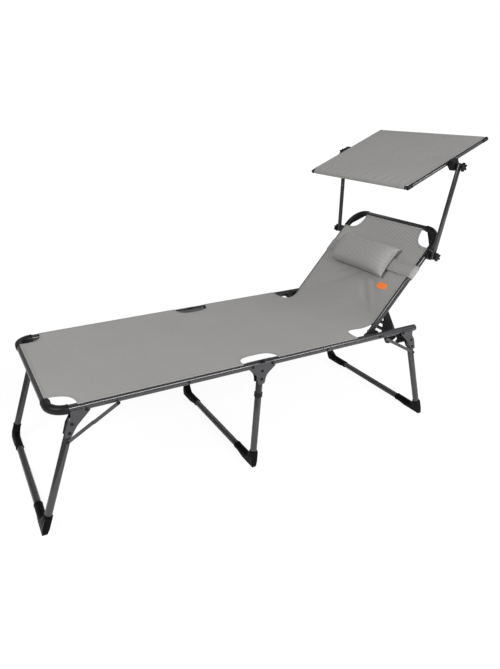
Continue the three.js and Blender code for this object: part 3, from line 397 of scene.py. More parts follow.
class Graph:
    """A node tree, with short ways to add nodes to it."""

    def __init__(self, tree):
        self.nodes, self.links = tree.nodes, tree.links

    def feed(self, socket, value):
        """Gives a socket a value, or a link from another socket."""
        if isinstance(value, bpy.types.NodeSocket):
            self.links.new(value, socket)
        else:
            socket.default_value = value

    def node(self, kind, inputs, **settings):
        """A node with its settings, and its inputs fed by name or number."""
        made = self.nodes.new(kind)
        for name, value in settings.items():
            setattr(made, name, value)
        for key, value in inputs.items():
            self.feed(made.inputs[key], value)
        return made

    def math(self, operation, *inputs):
        """A Math node fed by numbers or sockets."""
        return self.node("ShaderNodeMath", dict(enumerate(inputs)), operation=operation).outputs[0]

    def add(self, a, b):
        """The sum of two values."""
        return self.math("ADD", a, b)

    def times(self, a, b):
        """The product of two values."""
        return self.math("MULTIPLY", a, b)

    def where(self, kind="Object"):
        """Coordinates of that kind."""
        return self.nodes.new("ShaderNodeTexCoord").outputs[kind]

    def noise(self, where, scale, detail):
        """Noise between 0 and 1 over the given coordinates."""
        return self.node("ShaderNodeTexNoise", {"Vector": where, "Scale": scale, "Detail": detail}).outputs["Fac"]

    def spread(self, value, low, high, source=(0.0, 1.0), **settings):
        """Maps a range, 0 to 1 unless it is given, to low to high."""
        inputs = {"Value": value, "From Min": source[0], "From Max": source[1], "To Min": low, "To Max": high}
        return self.node("ShaderNodeMapRange", inputs, **settings).outputs["Result"]

    def shaded(self, base, factor):
        """The base colour times a factor that varies over the surface."""
        return self.node("ShaderNodeVectorMath", {0: base, "Scale": factor}, operation="SCALE").outputs["Vector"]

    def bump(self, height, distance, strength):
        """Relief of that depth, in metres."""
        inputs = {"Height": height, "Distance": distance, "Strength": strength}
        return self.node("ShaderNodeBump", inputs).outputs["Normal"]

    def seen(self):
        """1 for what the camera sees, directly or through something clear, and 0 for other rays."""
        rays = self.nodes.new("ShaderNodeLightPath").outputs
        return self.math("MAXIMUM", rays["Is Camera Ray"], rays["Is Transmission Ray"])


def finish(name, build, **values):
    """The material of that name, made on its first use. build gets its graph, and returns the values and
    links of its shader beside those that are given."""
    material = bpy.data.materials.get(name)
    if not material:
        material = bpy.data.materials.new(name)
        material.use_nodes = True
        graph = Graph(material.node_tree)
        shader = graph.nodes["Principled BSDF"]
        for key, value in {**values, **build(graph)}.items():
            graph.feed(shader.inputs[key.replace("_", " ")], value)
    return material


def grained(name, base, specular, slow, tone, gloss, fine=None, sheen=0.0):
    """A finish with a base colour that varies by tone and a roughness that varies by gloss, both over slow
    noise of that scale and detail. fine is the scale, depth and strength of its grain."""
    def build(graph):
        where = graph.where()
        patches = graph.noise(where, *slow)
        made = {"Base Color": graph.shaded(base, graph.spread(patches, *tone)),
                "Roughness": graph.spread(patches, *gloss), "Specular IOR Level": specular, "Sheen Weight": sheen}
        if fine:
            made["Normal"] = graph.bump(graph.noise(where, fine[0], 2.0), *fine[1:])
        return made

    return finish(name, build)


def paint():
    """Satin anthracite paint: fine orange peel, slow changes of tone and gloss."""
    return grained("anthracite_paint", colours().paint, 0.85, (9.0, 4.0), (0.86, 1.14), (0.16, 0.26),
                   (700.0, 0.00012, 0.5))


def moulded(name="grained_black_moulding", specular=0.2, share=1.0):
    """Black moulding: fine spark-eroded grain, with rubbed and dull patches."""
    base = tuple(share * c for c in colours().moulding)
    return grained(name, base, specular, (22.0, 4.0), (0.8, 1.45), (0.34, 0.52), (1400.0, 0.0001, 0.6))


def shoe_rubber():
    """The deeper, duller black of the shoes on the floor."""
    return moulded("dull_black_shoes", 0.06, 0.45)


def blackened():
    """Blackened steel of the rivet heads."""
    return grained("blackened_steel", colours().rivet, 0.1, (160.0, 3.0), (0.7, 1.5), (0.3, 0.5))


def weave(name, base, stripe, rib=0.022, dots=0.0, fade=(-2.0, -1.0)):
    """Woven mesh cloth on the piece's own UV map, which is in metres. Warp and weft rise as
    |sin(pi u / pitch)| and |sin(pi v / pitch)|, and alternate threads lie over each other. A diagonal rib
    repeats every stripe and grows to rib over the fade along u. dots is the spacing of the open mesh's
    holes. Hems and stitches follow the edge attribute."""
    pitch, hem_width = sizes().thread, sizes().hem

    def build(graph):
        add, times = graph.add, graph.times

        def wave(value, period):
            return graph.math("SINE", times(value, 2 * math.pi / period))

        split = graph.node("ShaderNodeSeparateXYZ", {0: graph.where("UV")}).outputs
        u, v = split["X"], split["Y"]
        warp, weft = (graph.math("ABSOLUTE", wave(value, 2 * pitch)) for value in (u, v))
        over = times(wave(u, 4 * pitch), wave(v, 4 * pitch))
        threads = add(times(add(warp, weft), 0.5), times(over, 0.25))
        diagonal = wave(add(times(u, 0.946), times(v, -0.324)), stripe)
        where = graph.where()
        slow, slub = graph.noise(where, 5.0, 4.0), graph.noise(where, 90.0, 3.0)
        tone = add(graph.spread(slow, 0.93, 1.05), graph.spread(slub, -0.05, 0.05))
        tone = add(tone, graph.spread(threads, -0.16, 0.07))
        tone = add(tone, times(add(diagonal, 1.5), graph.spread(u, rib * 0.25, rib, fade)))
        relief = threads
        if dots:
            lattice = times(wave(add(u, v), 2 * dots), wave(graph.math("SUBTRACT", u, v), 2 * dots))
            holes = graph.math("POWER", graph.math("ABSOLUTE", lattice), 1.6)
            tone, relief = add(tone, times(holes, -0.30)), add(relief, times(holes, -1.5))
        rim = graph.node("ShaderNodeAttribute", {}, attribute_name="edge").outputs["Fac"]
        seam = graph.math("ABSOLUTE", graph.math("SUBTRACT", rim, hem_width))
        stitch = graph.math("SUBTRACT", 1.0, graph.math("MINIMUM", graph.math("DIVIDE", seam, 0.0016), 1.0))
        hem = graph.math("LESS_THAN", rim, hem_width)
        tone = add(add(tone, times(stitch, -0.22)), times(hem, -0.035))
        relief = add(add(relief, times(hem, 1.4)), times(stitch, -1.6))
        return {"Base Color": graph.shaded(base, tone), "Normal": graph.bump(relief, 0.0004, 0.7)}

    return finish(name, build, Roughness=0.85, Sheen_Weight=0.08, Sheen_Roughness=0.55, Specular_IOR_Level=0.12)


def bed_weave():
    """The cloth of the seat and the strap."""
    return weave("grey_woven_cloth", colours().cloth, 0.0095)


def ribbed_weave():
    """The same cloth on the backrest, where its diagonal rib shows most."""
    return weave("grey_ribbed_cloth", colours().cloth, 0.0130, rib=0.11, fade=(1.52, 1.84))


def canopy_weave():
    """The same cloth on the canopy, with a finer rib."""
    return weave("grey_canopy_cloth", colours().cloth, 0.0085, rib=0.045)


def pillow_weave():
    """The open mesh cloth of the pillow."""
    return weave("grey_mesh_cloth", colours().pillow, 0.02, dots=0.0105)


# Places that several pieces share

def slanted(turn):
    """The level way along X turned up by an angle, and the way square to it."""
    way = np.array([math.cos(turn), 0, math.sin(turn)])
    return way, np.array([-way[2], 0, way[0]])


def placed(origin, way, face, along, y, out):
    """Points origin + along * way + out * face, with y across."""
    along, y, out = np.broadcast_arrays(*(np.asarray(a, float) for a in (along, y, out)))
    return origin + along[..., None] * way + out[..., None] * face + y[..., None] * ACROSS


def back_frame():
    """The backrest's own axes: the hinge, the way up the backrest, and the way out of its face."""
    s = sizes()
    return np.array([FOOT_X + s.hinge_x, 0, s.rail_z]), *slanted(s.back_angle)


def on_back(along, y, out):
    """Points on the backrest, along from its hinge."""
    return placed(*back_frame(), along, y, out)


def lower_clamps():
    """The point between the lower clamps."""
    hinge, up, _ = back_frame()
    return hinge + up * sizes().arm_from


def canopy_axes():
    """The canopy's own axes: the pivot of its clamps, the way to its rear bar, and the way up."""
    s = sizes()
    return lower_clamps() + s.arm_length * slanted(s.arm_angle)[0], *slanted(s.canopy_angle)


def on_canopy(along, y, out):
    """Points on the canopy, along from its clamps' pivots."""
    return placed(*canopy_axes(), along, y, out)


# Cloth

def rounded_end(share):
    """Depth of a rounded cut-out, as a share: the cube root of 1 - |share| ** 3, and 0 past its ends."""
    share = np.clip(np.abs(share), 0, 1)
    return (1 - share ** 3.0) ** (1 / 3.0)


def even_rows(function, low, high, count):
    """Places along an outline y = function(s), evenly far apart along the outline itself."""
    dense = np.linspace(low, high, 6000)
    run = run_along(np.stack([dense, function(dense)], 1))
    return np.unique(np.interp(np.linspace(0, run[-1], count), run, dense))


def seat_half_width(s_along):
    """Half width of the seat cloth: the rails' spacing and the wrap past their crests, less the rounded
    cut-outs at the foot corners and over the fold."""
    s = sizes()
    foot = (0.087 + s.wrap) * rounded_end(s_along / 0.093)
    fold = (0.063 + s.wrap) * rounded_end((s_along - s.fold_x) / 0.080)
    return s.rail_y + s.wrap - foot - fold


def hinge_half_width(t):
    """Half width of the cloth near the hinge, t counted from it along the cloth: from the rails in to the
    rounded end of the cut-out, then out again to the backrest's side tubes. A smoothed line through points."""
    s = sizes()
    at = (-0.1175, -0.1165, -0.112, -0.104, -0.092, -0.076, -0.055, -0.030, -0.008, 0.010, 0.022, 0.030)
    half = (s.rail_y + s.wrap, 0.332, 0.302, 0.279, 0.266, 0.262, 0.267, 0.278, 0.2865, 0.2935, 0.2975,
            s.back_y - 0.0045)
    dense = np.linspace(-0.2, 0.2, 4001)
    window = np.hanning(51)
    line = np.pad(np.interp(dense, at, half), len(window) // 2, mode="edge")
    return np.interp(t, dense, np.convolve(line, window / window.sum(), mode="valid"))


def back_half_width(along):
    """Half width of the backrest's cloth: the cut-out at the hinge, and one at either top corner."""
    s = sizes()
    t = along - s.hinge_x
    return hinge_half_width(t) - 0.098 * rounded_end((s.back_length - BACK_HEM - t) / 0.097)


def over_rail(y, radius, centre):
    """Drop of the cloth past a tube's crest: radius - sqrt(radius^2 - beyond^2)."""
    beyond = np.clip(np.abs(y) - centre, 0, radius * 0.95)
    return radius - np.sqrt(radius ** 2 - beyond ** 2)


def outline_distance(rows, width, y, ends):
    """Distance of each point of a panel from the panel's outline, taken on points of the outline. ends says
    whether the first and the last row are part of it."""
    sides = [np.stack([rows, width], 1), np.stack([rows, -width], 1)]
    for k, hemmed in zip((0, -1), ends):
        if hemmed:
            sides.append(np.stack([np.full(80, rows[k]), np.linspace(-width[k], width[k], 80)], 1))
    along, across = np.concatenate(sides).T
    return np.stack([np.hypot(along - row, across - line[:, None]).min(1) for row, line in zip(rows, y)])


def cloth_piece(name, rows, width, place, look, ends):
    """A panel of cloth over points that crowd a little towards its sides, with its thickness, its UV map in
    metres and its edge attribute. width is the half width of each row. Returns it and its flat area."""
    even = np.linspace(-1, 1, 72)
    across = 0.35 * np.sin(np.pi / 2 * even) + 0.65 * even
    y = width[:, None] * (across / across[-1])
    along = np.broadcast_to(rows[:, None], y.shape)
    made = surface(name, place(along, y), look(), edge=outline_distance(rows, width, y, ends))
    lay_flat(made.data, np.stack([along, y], -1))
    thicken(made, sizes().cloth)
    return made, float(np.sum((width[1:] + width[:-1]) * np.diff(rows)))


def thicken(piece, thickness):
    """Gives a sheet its thickness, and keeps the shading even up to its edges."""
    thick = piece.modifiers.new("cloth thickness", "SOLIDIFY")
    thick.thickness, thick.offset = thickness, 0.0
    piece.modifiers.new("even shading", "WEIGHTED_NORMAL").mode = "FACE_AREA"


class LOUNGER_OT_rails(Operator):
    """Make the foot frame and the two head rails"""
    bl_idname = "lounger.rails"
    bl_label = "Rails"

    def execute(self, context):
        s, x = sizes(), FOOT_X
        up, plug = (0, 0, 1), 0.0012
        end_cap = 0.004  # back from a rail's head end
        sleeve_from, sleeve_to = 0.010, 0.001  # back from the gap at the fold
        end = x + s.fold_x - FOLD_GAP
        corners = [(along, side * s.rail_y, s.rail_z) for along, side in ((end, -1), (x, -1), (x, 1), (end, 1))]
        tube("foot_rail_tube", corners, s.rail_radius, up, paint, "foot_half", "foot_frame", s.rail_bend,
             (plug, plug), 36)
        for name, side in SIDES:
            ends = [(x + along, side * s.rail_y, s.rail_z) for along in (s.fold_x + FOLD_GAP, s.rail_end - end_cap)]
            tube(f"head_rail_tube_{name}", ends, s.rail_radius, up, paint, "head_half", f"head_rail_{name}",
                 plugs=(plug, 0.007), sides=36)
            for half, turned in (("foot", 1), ("head", -1)):
                ends = [(x + s.fold_x - turned * (FOLD_GAP + back), side * s.rail_y, s.rail_z)
                        for back in (sleeve_from, sleeve_to)]
                tube(f"fold_end_{half}_{name}", ends, s.rail_radius + 0.0004, up, moulded, f"{half}_half",
                     plugs=(0.0001, plug))
        return {"FINISHED"}


class LOUNGER_OT_legs(Operator):
    """Make the three bent leg tubes and the sleeves of their shoes"""
    bl_idname = "lounger.legs"
    bl_label = "Legs"

    def execute(self, context):
        s = sizes()
        sleeve = s.leg_radius + SLEEVE_WALL
        past, collar = 0.018, (0.108, 0.126)  # up past the pivot, and down from the top of the middle leg
        sleeve_up, sleeve_in = 0.049, 0.140  # how far a shoe's sleeve reaches up the leg, and in along its foot
        for name, top_x, lean, inward, from_rail, body in LEGS:
            slope = math.cos(math.radians(lean))
            down = np.array([-inward * math.sin(math.radians(lean)), 0, -slope])
            top = np.array([FOOT_X + (top_x or s.fold_x), 0, s.rail_z])
            start = top + down * (from_rail / slope - (0 if name == "mid" else past))
            foot = top + down * (s.rail_z - s.leg_foot) / slope
            y = s.rail_y * ACROSS
            face = np.cross(down, ACROSS)
            tube(f"{name}_leg_tube", [start - y, foot - y, foot + y, start + y], s.leg_radius, face, paint, body,
                 f"{name}_leg", s.leg_bend, sides=32)
            for which, side in SIDES:
                bend = foot + side * y
                ends = [bend - down * sleeve_up, bend, foot + side * (s.rail_y - sleeve_in) * ACROSS]
                cuff(f"{name}_shoe_sleeve_{which}", ends, s.leg_bend, sleeve, face, body, shoe_rubber)
                if name == "mid":
                    ring = [top + side * y + down * (from_rail / slope + far) for far in collar]
                    cuff(f"leg_collar_{which}", ring, None, sleeve, face, body, moulded, f"mid_leg_collar_{which}")
        return {"FINISHED"}


class LOUNGER_OT_backrest_tube(Operator):
    """Make the backrest's bent tube"""
    bl_idname = "lounger.backrest_tube"
    bl_label = "Backrest tube"

    def execute(self, context):
        s = sizes()
        below = -0.014
        corners = on_back([below, s.back_length, s.back_length, below], s.back_y * np.array([-1, -1, 1, 1]), 0)
        tube("backrest_tube", corners, s.back_radius, back_frame()[2], paint, "backrest", "backrest_frame",
             s.back_bend, sides=32)
        return {"FINISHED"}


class LOUNGER_OT_prop(Operator):
    """Make the prop's cross tubes and arms"""
    bl_idname = "lounger.prop_tubes"
    bl_label = "Prop tubes"

    def execute(self, context):
        plug = 0.001
        for node in ("prop_lower_tube", "prop_upper_tube"):
            low, high = (np.array(corner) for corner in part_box(node))
            x, _, z = (low + high) / 2
            tube(f"{node}_round", [(x, low[1] + plug, z), (x, high[1] - plug, z)], 0.008, (0, 0, 1), paint, "prop",
                 node, plugs=(plug, plug), sides=24)
        for name, _ in SIDES:
            eased(f"prop_arm_{name}", f"prop_side_{name}", 0.0015, moulded, "prop")
        return {"FINISHED"}


class LOUNGER_OT_canopy_tubes(Operator):
    """Make the canopy's arms, its frame and the caps on its corners"""
    bl_idname = "lounger.canopy_tubes"
    bl_label = "Canopy tubes"

    def execute(self, context):
        s = sizes()
        pivot, _, up = canopy_axes()
        low = lower_clamps()
        past_low, past_high = 0.012, 0.011  # how far an arm reaches past its clamps
        for name, side in SIDES:
            foot, head = low + side * s.arm_low * ACROSS, pivot + side * s.arm_high * ACROSS
            way = unit(head - foot)
            tube(f"canopy_arm_tube_{name}", [foot - way * past_low, head + way * past_high], s.arm_radius,
                 np.cross(way, ACROSS), paint, "canopy_arms", f"canopy_arm_{name}", plugs=(0.0045, 0.0045))
        bars = (("front", -s.canopy_front, -1), ("rear", s.canopy_rear, 1))
        plug, short = 0.001, 0.004  # short: from a bar to the end of a side tube
        cap_in, cap_out = 0.020, 0.006  # how far a corner cap reaches in from its bar, and out
        for name, side in SIDES:
            ends = on_canopy([place - turned * short for _, place, turned in bars], side * s.canopy_y, s.canopy_drop)
            tube(f"canopy_side_tube_{name}", ends, s.canopy_radius, up, paint, "canopy",
                 "canopy_frame" if name == "near" else None, plugs=(plug, plug), sides=24)
            for which, place, turned in bars:
                ends = on_canopy([place - turned * cap_in, place + turned * cap_out], side * s.canopy_y,
                                 s.canopy_drop)
                tube(f"canopy_cap_{which}_{name}", ends, s.canopy_radius + 0.0009, up, moulded, "canopy",
                     plugs=(0.0006, 0.0035), sides=24)
        for which, place, _ in bars:
            ends = on_canopy(place, [-s.canopy_y, s.canopy_y], s.canopy_drop)
            tube(f"canopy_bar_{which}", ends, s.canopy_radius, up, paint, "canopy", plugs=(plug, plug), sides=24)
        return {"FINISHED"}


# Solid, new name, rounding, finish, body and, if not 35, the angle in degrees past which an edge is rounded.
# Both names end with near or far, which also stands for {}.
FITTINGS = (
    ("mid_bracket", "fold_bracket", 0.0006, paint, "mid_frame"),
    ("front_gusset", "front_leg_bracket", 0.0006, paint, "foot_half"),
    ("front_upper_link", "front_brace_upper", 0.0005, paint, "front_upper_links"),
    ("front_lower_link", "front_brace_lower", 0.0005, paint, "front_lower_links"),
    ("rear_gusset", "rear_leg_bracket", 0.0006, paint, "head_half"),
    ("rear_upper_link", "rear_brace_upper", 0.0005, paint, "rear_upper_links"),
    ("rear_lower_link", "rear_brace_lower", 0.0005, paint, "rear_lower_links"),
    ("front_shoe", "front_foot_shoe", 0.0025, shoe_rubber, "front_leg", 30),
    ("mid_shoe", "mid_foot_shoe", 0.0025, shoe_rubber, "mid_frame", 30),
    ("rear_shoe", "rear_foot_shoe", 0.0025, shoe_rubber, "rear_leg", 30),
    ("rack", "notched_rack", 0.0008, moulded, "head_half"),
    ("hinge_bracket", "hinge_block", 0.0012, moulded, "head_half"),
    ("lower_clamp", "lower_clamp_body", 0.0018, moulded, "backrest", 30),
    ("upper_clamp", "upper_clamp_body", 0.0018, moulded, "canopy", 30),
    ("lower_knob", "lower_star_knob", 0.0014, moulded, "lower_knob_{}", 25),
    ("upper_knob", "upper_star_knob", 0.0014, moulded, "upper_knob_{}", 25),
)


class LOUNGER_OT_fittings(Operator):
    """Round the edges of the pressed plates, shoes, clamps, knobs and links, and set their rivets"""
    bl_idname = "lounger.fittings"
    bl_label = "Fittings"

    def execute(self, context):
        for side, _ in SIDES:
            for node, name, width, look, body, *sharp in FITTINGS:
                eased(f"{node}_{side}", f"{name}_{side}", width, look, body.format(side), *sharp)
        self.set_rivets(sizes())
        return {"FINISHED"}

    def set_rivets(self, s):
        """Domed heads over each pin, on the outer faces of the plates, rails, legs and links."""
        x, z = FOOT_X, s.rail_z
        fold = x + s.fold_x
        plate, rail = s.rail_y + 0.0185, s.rail_y + s.rail_radius - 0.0004
        link, leg_face = s.rail_y + 0.0237, s.rail_y + 0.021
        fold_pins, stem_pins = (-0.045, 0.045), (0.025, 0.061)  # along the rails, and down the middle leg
        fixed, link_end = (0.055, 0.008), (0.165, 0.010)  # in from a leg's pivot, and below the rails' centres
        stop_at, knee_at = 0.035, 0.068  # down a leg from its pivot
        lone = 0.316  # from the fold to the single rivet on either half of a rail
        slope = math.tan(math.radians(MID_LEAN))
        mid, foot, head, front, rear = [], [], [], [], []
        for _, side in SIDES:
            mid += [(fold + along, side * plate, z, side) for along in fold_pins]
            mid += [(fold - drop * slope, side * plate, z - drop, side) for drop in stem_pins]
            for (_, top_x, lean, inward, _, _), half, leg in ((LEGS[0], foot, front), (LEGS[2], head, rear)):
                turn = math.radians(lean)
                pivot_x, pivot_z = x + top_x - inward * PIVOT_DROP * math.tan(turn), z - PIVOT_DROP
                stop, knee = ((pivot_x - inward * far * math.sin(turn), pivot_z - far * math.cos(turn))
                              for far in (stop_at, knee_at))
                half += [(pivot_x + inward * fixed[0], side * plate, z - fixed[1], side),
                         (pivot_x, side * plate, pivot_z, side), (stop[0], side * plate, stop[1], side),
                         (pivot_x + inward * link_end[0], side * link, z - link_end[1], side)]
                leg.append((knee[0], side * leg_face, knee[1], side))
            foot.append((fold - lone, side * rail, z, side))
            head += [(fold + lone, side * rail, z, side), (x + s.hinge_x, side * rail, z, side)]
        for name, places, body in (
            ("fold_brackets", mid, "mid_frame"), ("foot_half", foot, "foot_half"), ("head_half", head, "head_half"),
            ("front_leg", front, "front_leg"), ("rear_leg", rear, "rear_leg"),
        ):
            rivets(f"rivets_{name}", places, body)


class LOUNGER_OT_corner_mouldings(Operator):
    """Make the moulded sleeves round the bends of the foot frame and the backrest"""
    bl_idname = "lounger.corner_mouldings"
    bl_label = "Corner mouldings"

    def execute(self, context):
        s = sizes()
        wall = 0.0022
        on_rail, on_bar = 0.062, 0.085  # reach of the foot sleeves from their corner
        on_side, on_top = 0.095, 0.092  # reach of the backrest's sleeves
        _, up, face = back_frame()
        for name, side in SIDES:
            turn = np.array([FOOT_X, side * s.rail_y, s.rail_z])
            self.sleeve(f"foot_corner_sleeve_{name}", [turn + (on_rail, 0, 0), turn, turn - side * on_bar * ACROSS],
                        s.rail_radius + wall, s.rail_bend, (0, 0, 1), f"foot_corner_{name}", "foot_half")
            turn = on_back(s.back_length, side * s.back_y, 0)
            self.sleeve(f"backrest_corner_sleeve_{name}", [turn - up * on_side, turn, turn - side * on_top * ACROSS],
                        s.back_radius + wall, s.back_bend, face, f"backrest_corner_{name}", "backrest")
        return {"FINISHED"}

    def sleeve(self, name, corners, radius, bend, normal, node, body):
        """A sleeve with a raised rim at either end, and a web that fills the inside of the bend. The
        web is a straight blend between the chord of the bend and the tube's centre line."""
        cuff(name, corners, bend, radius, normal, body, moulded, node)
        arc, _ = path(corners, bend, 18)
        chord = arc[0] + (arc[-1] - arc[0]) * np.linspace(0, 1, len(arc))[:, None]
        share = np.linspace(0, 1, 7)[None, :, None]
        sheet = arc[:, None] * (1 - share) + chord[:, None] * share
        half_depth = 0.0026 * unit(normal)
        profile = np.concatenate([sheet + half_depth, (sheet - half_depth)[:, ::-1]], 1)
        closed(f"{name}_web", profile[1:-1], moulded, body)


class LOUNGER_OT_bed_cloth(Operator):
    """Stretch the cloth over the seat and the backrest"""
    bl_idname = "lounger.bed_cloth"
    bl_label = "Bed cloth"

    def execute(self, context):
        s, x = sizes(), FOOT_X
        wall, lift = s.rail_radius + CLOTH_LIFT, s.back_radius + CLOTH_LIFT
        hinge, up, face = back_frame()
        beyond = (wall - lift * up[0]) / up[2]  # from the hinge up to the line where the two planes meet
        shift = beyond * up[0] - lift * up[2]
        back_top = s.hinge_x + s.back_length - BACK_HEM

        def seat(along, y):
            """z = top - sag * (1 - (y / half) ** 2), less the fall past the crests of the rails and of the
            foot bar. Both falls follow the tube."""
            across = np.clip(1 - (y / s.rail_y) ** 2, 0, 1)
            level = s.rail_z + wall - s.seat_sag * across * np.minimum(1, np.maximum(along, 0) / 0.11) ** 0.8
            level -= over_rail(y, wall, s.rail_y) + over_rail(-along, wall, 0) * (along < 0)
            return np.stack([x + along, y, level], -1)

        def creases(t, y):
            """Two pairs of soft folds that run up from the corners of the hinge, and a fine ripple over it."""
            rise, inward, fold_length = 0.643, 0.766, 0.44
            depth = 0.0010 * np.sin((t + s.hinge_x + shift) * 70 + y * 34) * np.exp(-((t - 0.12) / 0.05) ** 2)
            for side, deep in ((1, 0.0075), (-1, 0.0060)):
                up_by, in_by = t - 0.035, side * y + 0.26  # from the fold's start by the hinge
                run, off = up_by * rise + in_by * inward, in_by * rise - up_by * inward
                window = np.sin(np.pi * np.clip(run / fold_length, 0, 1)) ** 2
                folds = np.exp(-(off / 0.020) ** 2) + 0.55 * np.exp(-((off + 0.052) / 0.018) ** 2)
                depth += deep * window * folds
            return depth

        def joined(along, y):
            """Seat and backrest as one sheet. With t counted from where their planes meet, the part that
            has turned up is (t + r)^2 / 4r within r of that line, nothing before it and t after it."""
            t = along - s.hinge_x - shift
            r = 0.010 + 0.115 * np.clip(1 - (y / s.rail_y) ** 2, 0, 1)
            turned = np.where(t < -r, 0, np.where(t > r, t, (t + r) ** 2 / (4 * r)))
            share = np.clip((t + r) / (2 * r), 0, 1)
            sag = s.seat_sag + (s.back_sag - s.seat_sag) * share
            half = s.rail_y + (s.back_y - s.rail_y) * share
            end = np.clip((back_top - along) / 0.09, 0, 1) ** 0.8
            across = np.clip(1 - (y / half) ** 2, 0, 1)
            drop = sag * across * end + creases(t, y) * across
            drop += over_rail(y, wall, s.rail_y) * (t < -0.06) + over_rail(y, lift, s.back_y) * (t > 0)
            normal = unit(np.stack([-up[2] * share, 0 * share, 1 - (1 - up[0]) * share], -1))
            flat = placed(hinge + beyond * up + lift * face, np.array([1.0, 0, 0]), up, t - turned, y, turned)
            return flat - drop[..., None] * normal

        fold = s.fold_x
        for name, width, place, look, low, high, count, ends, node, bodies, bends, rests_on in (
            ("bed_cloth_foot", seat_half_width, seat, bed_weave, -0.0015, fold, 300, (True, False),
             "seat_cloth_foot", ("foot_half", "mid_frame"), (fold - 0.075, fold - 0.012), ["foot_rail_tube"]),
            ("bed_cloth_middle", seat_half_width, seat, bed_weave, fold, MIDDLE_CLOTH_END, 200, (False, False),
             "seat_cloth_head", ("mid_frame", "head_half"), (fold + 0.012, fold + 0.075),
             ["head_rail_tube_near", "head_rail_tube_far"]),
            ("bed_cloth_back", back_half_width, joined, ribbed_weave, MIDDLE_CLOTH_END, back_top - 0.011, 420,
             (False, True), "backrest_cloth", ("head_half", "backrest"), (s.hinge_x - 0.05, s.hinge_x + 0.05),
             ["backrest_tube"]),
        ):
            rows = even_rows(width, low, high, count)
            made, area = cloth_piece(name, rows, width(rows), place, look, ends)
            flat = (2 * float(width(rows).max()), float(rows[-1] - rows[0]))
            start, end = ((x + along, 0, s.rail_z) for along in bends)
            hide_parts(node)
            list(bodies)
            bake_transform(made)
            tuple(start)
            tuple(end)
            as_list(rests_on)
        return {"FINISHED"}


class LOUNGER_OT_pillow(Operator):
    """Make the pillow and its strap"""
    bl_idname = "lounger.pillow"
    bl_label = "Pillow and strap"

    def execute(self, context):
        s = sizes()
        self.pillow(s)
        self.strap(s)
        return {"FINISHED"}

    def pillow(self, s):
        """A crowned cushion: for u and v from -1 to 1 across its two sides, height times
        ((1 - |u|^2.8)^0.5 * (1 - |v|^n)^0.5), where n is 10 at its full far end and 4 at its pinched near
        end. The far end is a little rounded in plan."""
        u = np.sin(np.linspace(-np.pi / 2, np.pi / 2, 60))[:, None]
        v = np.sin(np.linspace(-np.pi / 2, np.pi / 2, 110))[None, :]
        off_middle, base, height, belly = 0.020, 0.0225, 0.050, 0.0065
        plan = 1 - 0.05 * (1 - v ** 2) - 0.10 * np.clip((v - 0.72) / 0.28, 0, 1) ** 2.2
        along = PILLOW_UP + s.pillow_depth * u * plan
        across = off_middle + s.pillow_length * v * (1 - 0.035 * (1 - u ** 2)) - 0.012 * (v > 0) * v ** 6 * u ** 4
        crown = np.maximum(1 - np.abs(u) ** 2.8, 0) ** 0.5
        crown = crown * np.maximum(1 - np.where(v > 0, v ** 10, v ** 4), 0) ** 0.5
        top = on_back(along, across, base + height * crown)
        low = on_back(along, across, base - belly * np.maximum((1 - u ** 8) * (1 - v ** 8), 0) ** 0.5)
        made = surface("head_pillow", np.concatenate([top, low[::-1]], 0), pillow_weave())
        turn_out(made.data)
        plump(made, 0.0045, 0.006)
        hinge, up, face = back_frame()
        points = read_points(made.data) - hinge
        lay_flat(made.data, np.stack([points @ up + 0.6 * np.abs(points @ face), points[:, 1]], -1))
        mark_edge(made.data, np.full(len(points), 0.05))
        made.data.shade_smooth()
        finish_piece(made, "pillow", "pillow_cloth", "pillow")

    def strap(self, s):
        """A flat band round the backrest: straight in front and behind, a half circle round each side
        tube, carried along the backrest."""
        r, y0 = 0.0152, s.back_y
        t = np.linspace(-np.pi / 2, np.pi / 2, 18)
        run = np.linspace(-y0, y0, 90)[1:-1]
        across = np.concatenate([y0 + r * np.cos(t), run[::-1], -y0 - r * np.cos(t), run])
        level = np.full(len(run), r)
        out = np.concatenate([r * np.sin(t), level, -r * np.sin(t), -level])
        width = np.linspace(-0.5, 0.5, 12) * s.strap_width
        grid = on_back(PILLOW_UP + width[:, None], across, out)
        around = run_along(np.stack([across, out], 1))
        around = np.append(around, around[-1] + 0.007)
        edge = np.broadcast_to((s.strap_width / 2 - np.abs(width))[:, None], grid.shape[:2])
        made = surface("pillow_strap_band", grid, bed_weave(), wrap=True, uv=(width, around), edge=edge)
        thicken(made, 0.0012)
        finish_piece(made, "pillow", "cloth", "pillow_strap")


def plump(piece, voxel, cap):
    """Swells a closed piece like a filled cover: remesh, cloth with inner pressure and no gravity,
    each point moved by no more than cap, then one level of subdivision."""
    context = bpy.context
    remesh = piece.modifiers.new("even mesh", "REMESH")
    remesh.mode, remesh.voxel_size = "VOXEL", voxel
    bake_modifiers(piece)
    before = read_points(piece.data)
    cloth = piece.modifiers.new("swell", "CLOTH")
    cloth.settings.use_pressure = True
    cloth.settings.uniform_pressure_force = 4.0
    cloth.settings.effector_weights.gravity = 0.0
    cloth.settings.quality = 5
    cloth.collision_settings.use_collision = False
    for step in range(1, 21):
        context.scene.frame_set(step)
    swollen = bpy.data.meshes.new_from_object(piece.evaluated_get(context.evaluated_depsgraph_get()))
    move = read_points(swollen) - before
    piece.modifiers.clear()
    bpy.data.meshes.remove(swollen)
    far = np.linalg.norm(move, axis=1, keepdims=True)
    after = before + move * np.minimum(1, cap / np.maximum(far, 1e-9))
    piece.data.vertices.foreach_set("co", after.ravel())
    piece.data.update()
    context.scene.frame_set(1)
    smooth = piece.modifiers.new("finer", "SUBSURF")
    smooth.levels = smooth.render_levels = 1
    bake_modifiers(piece)


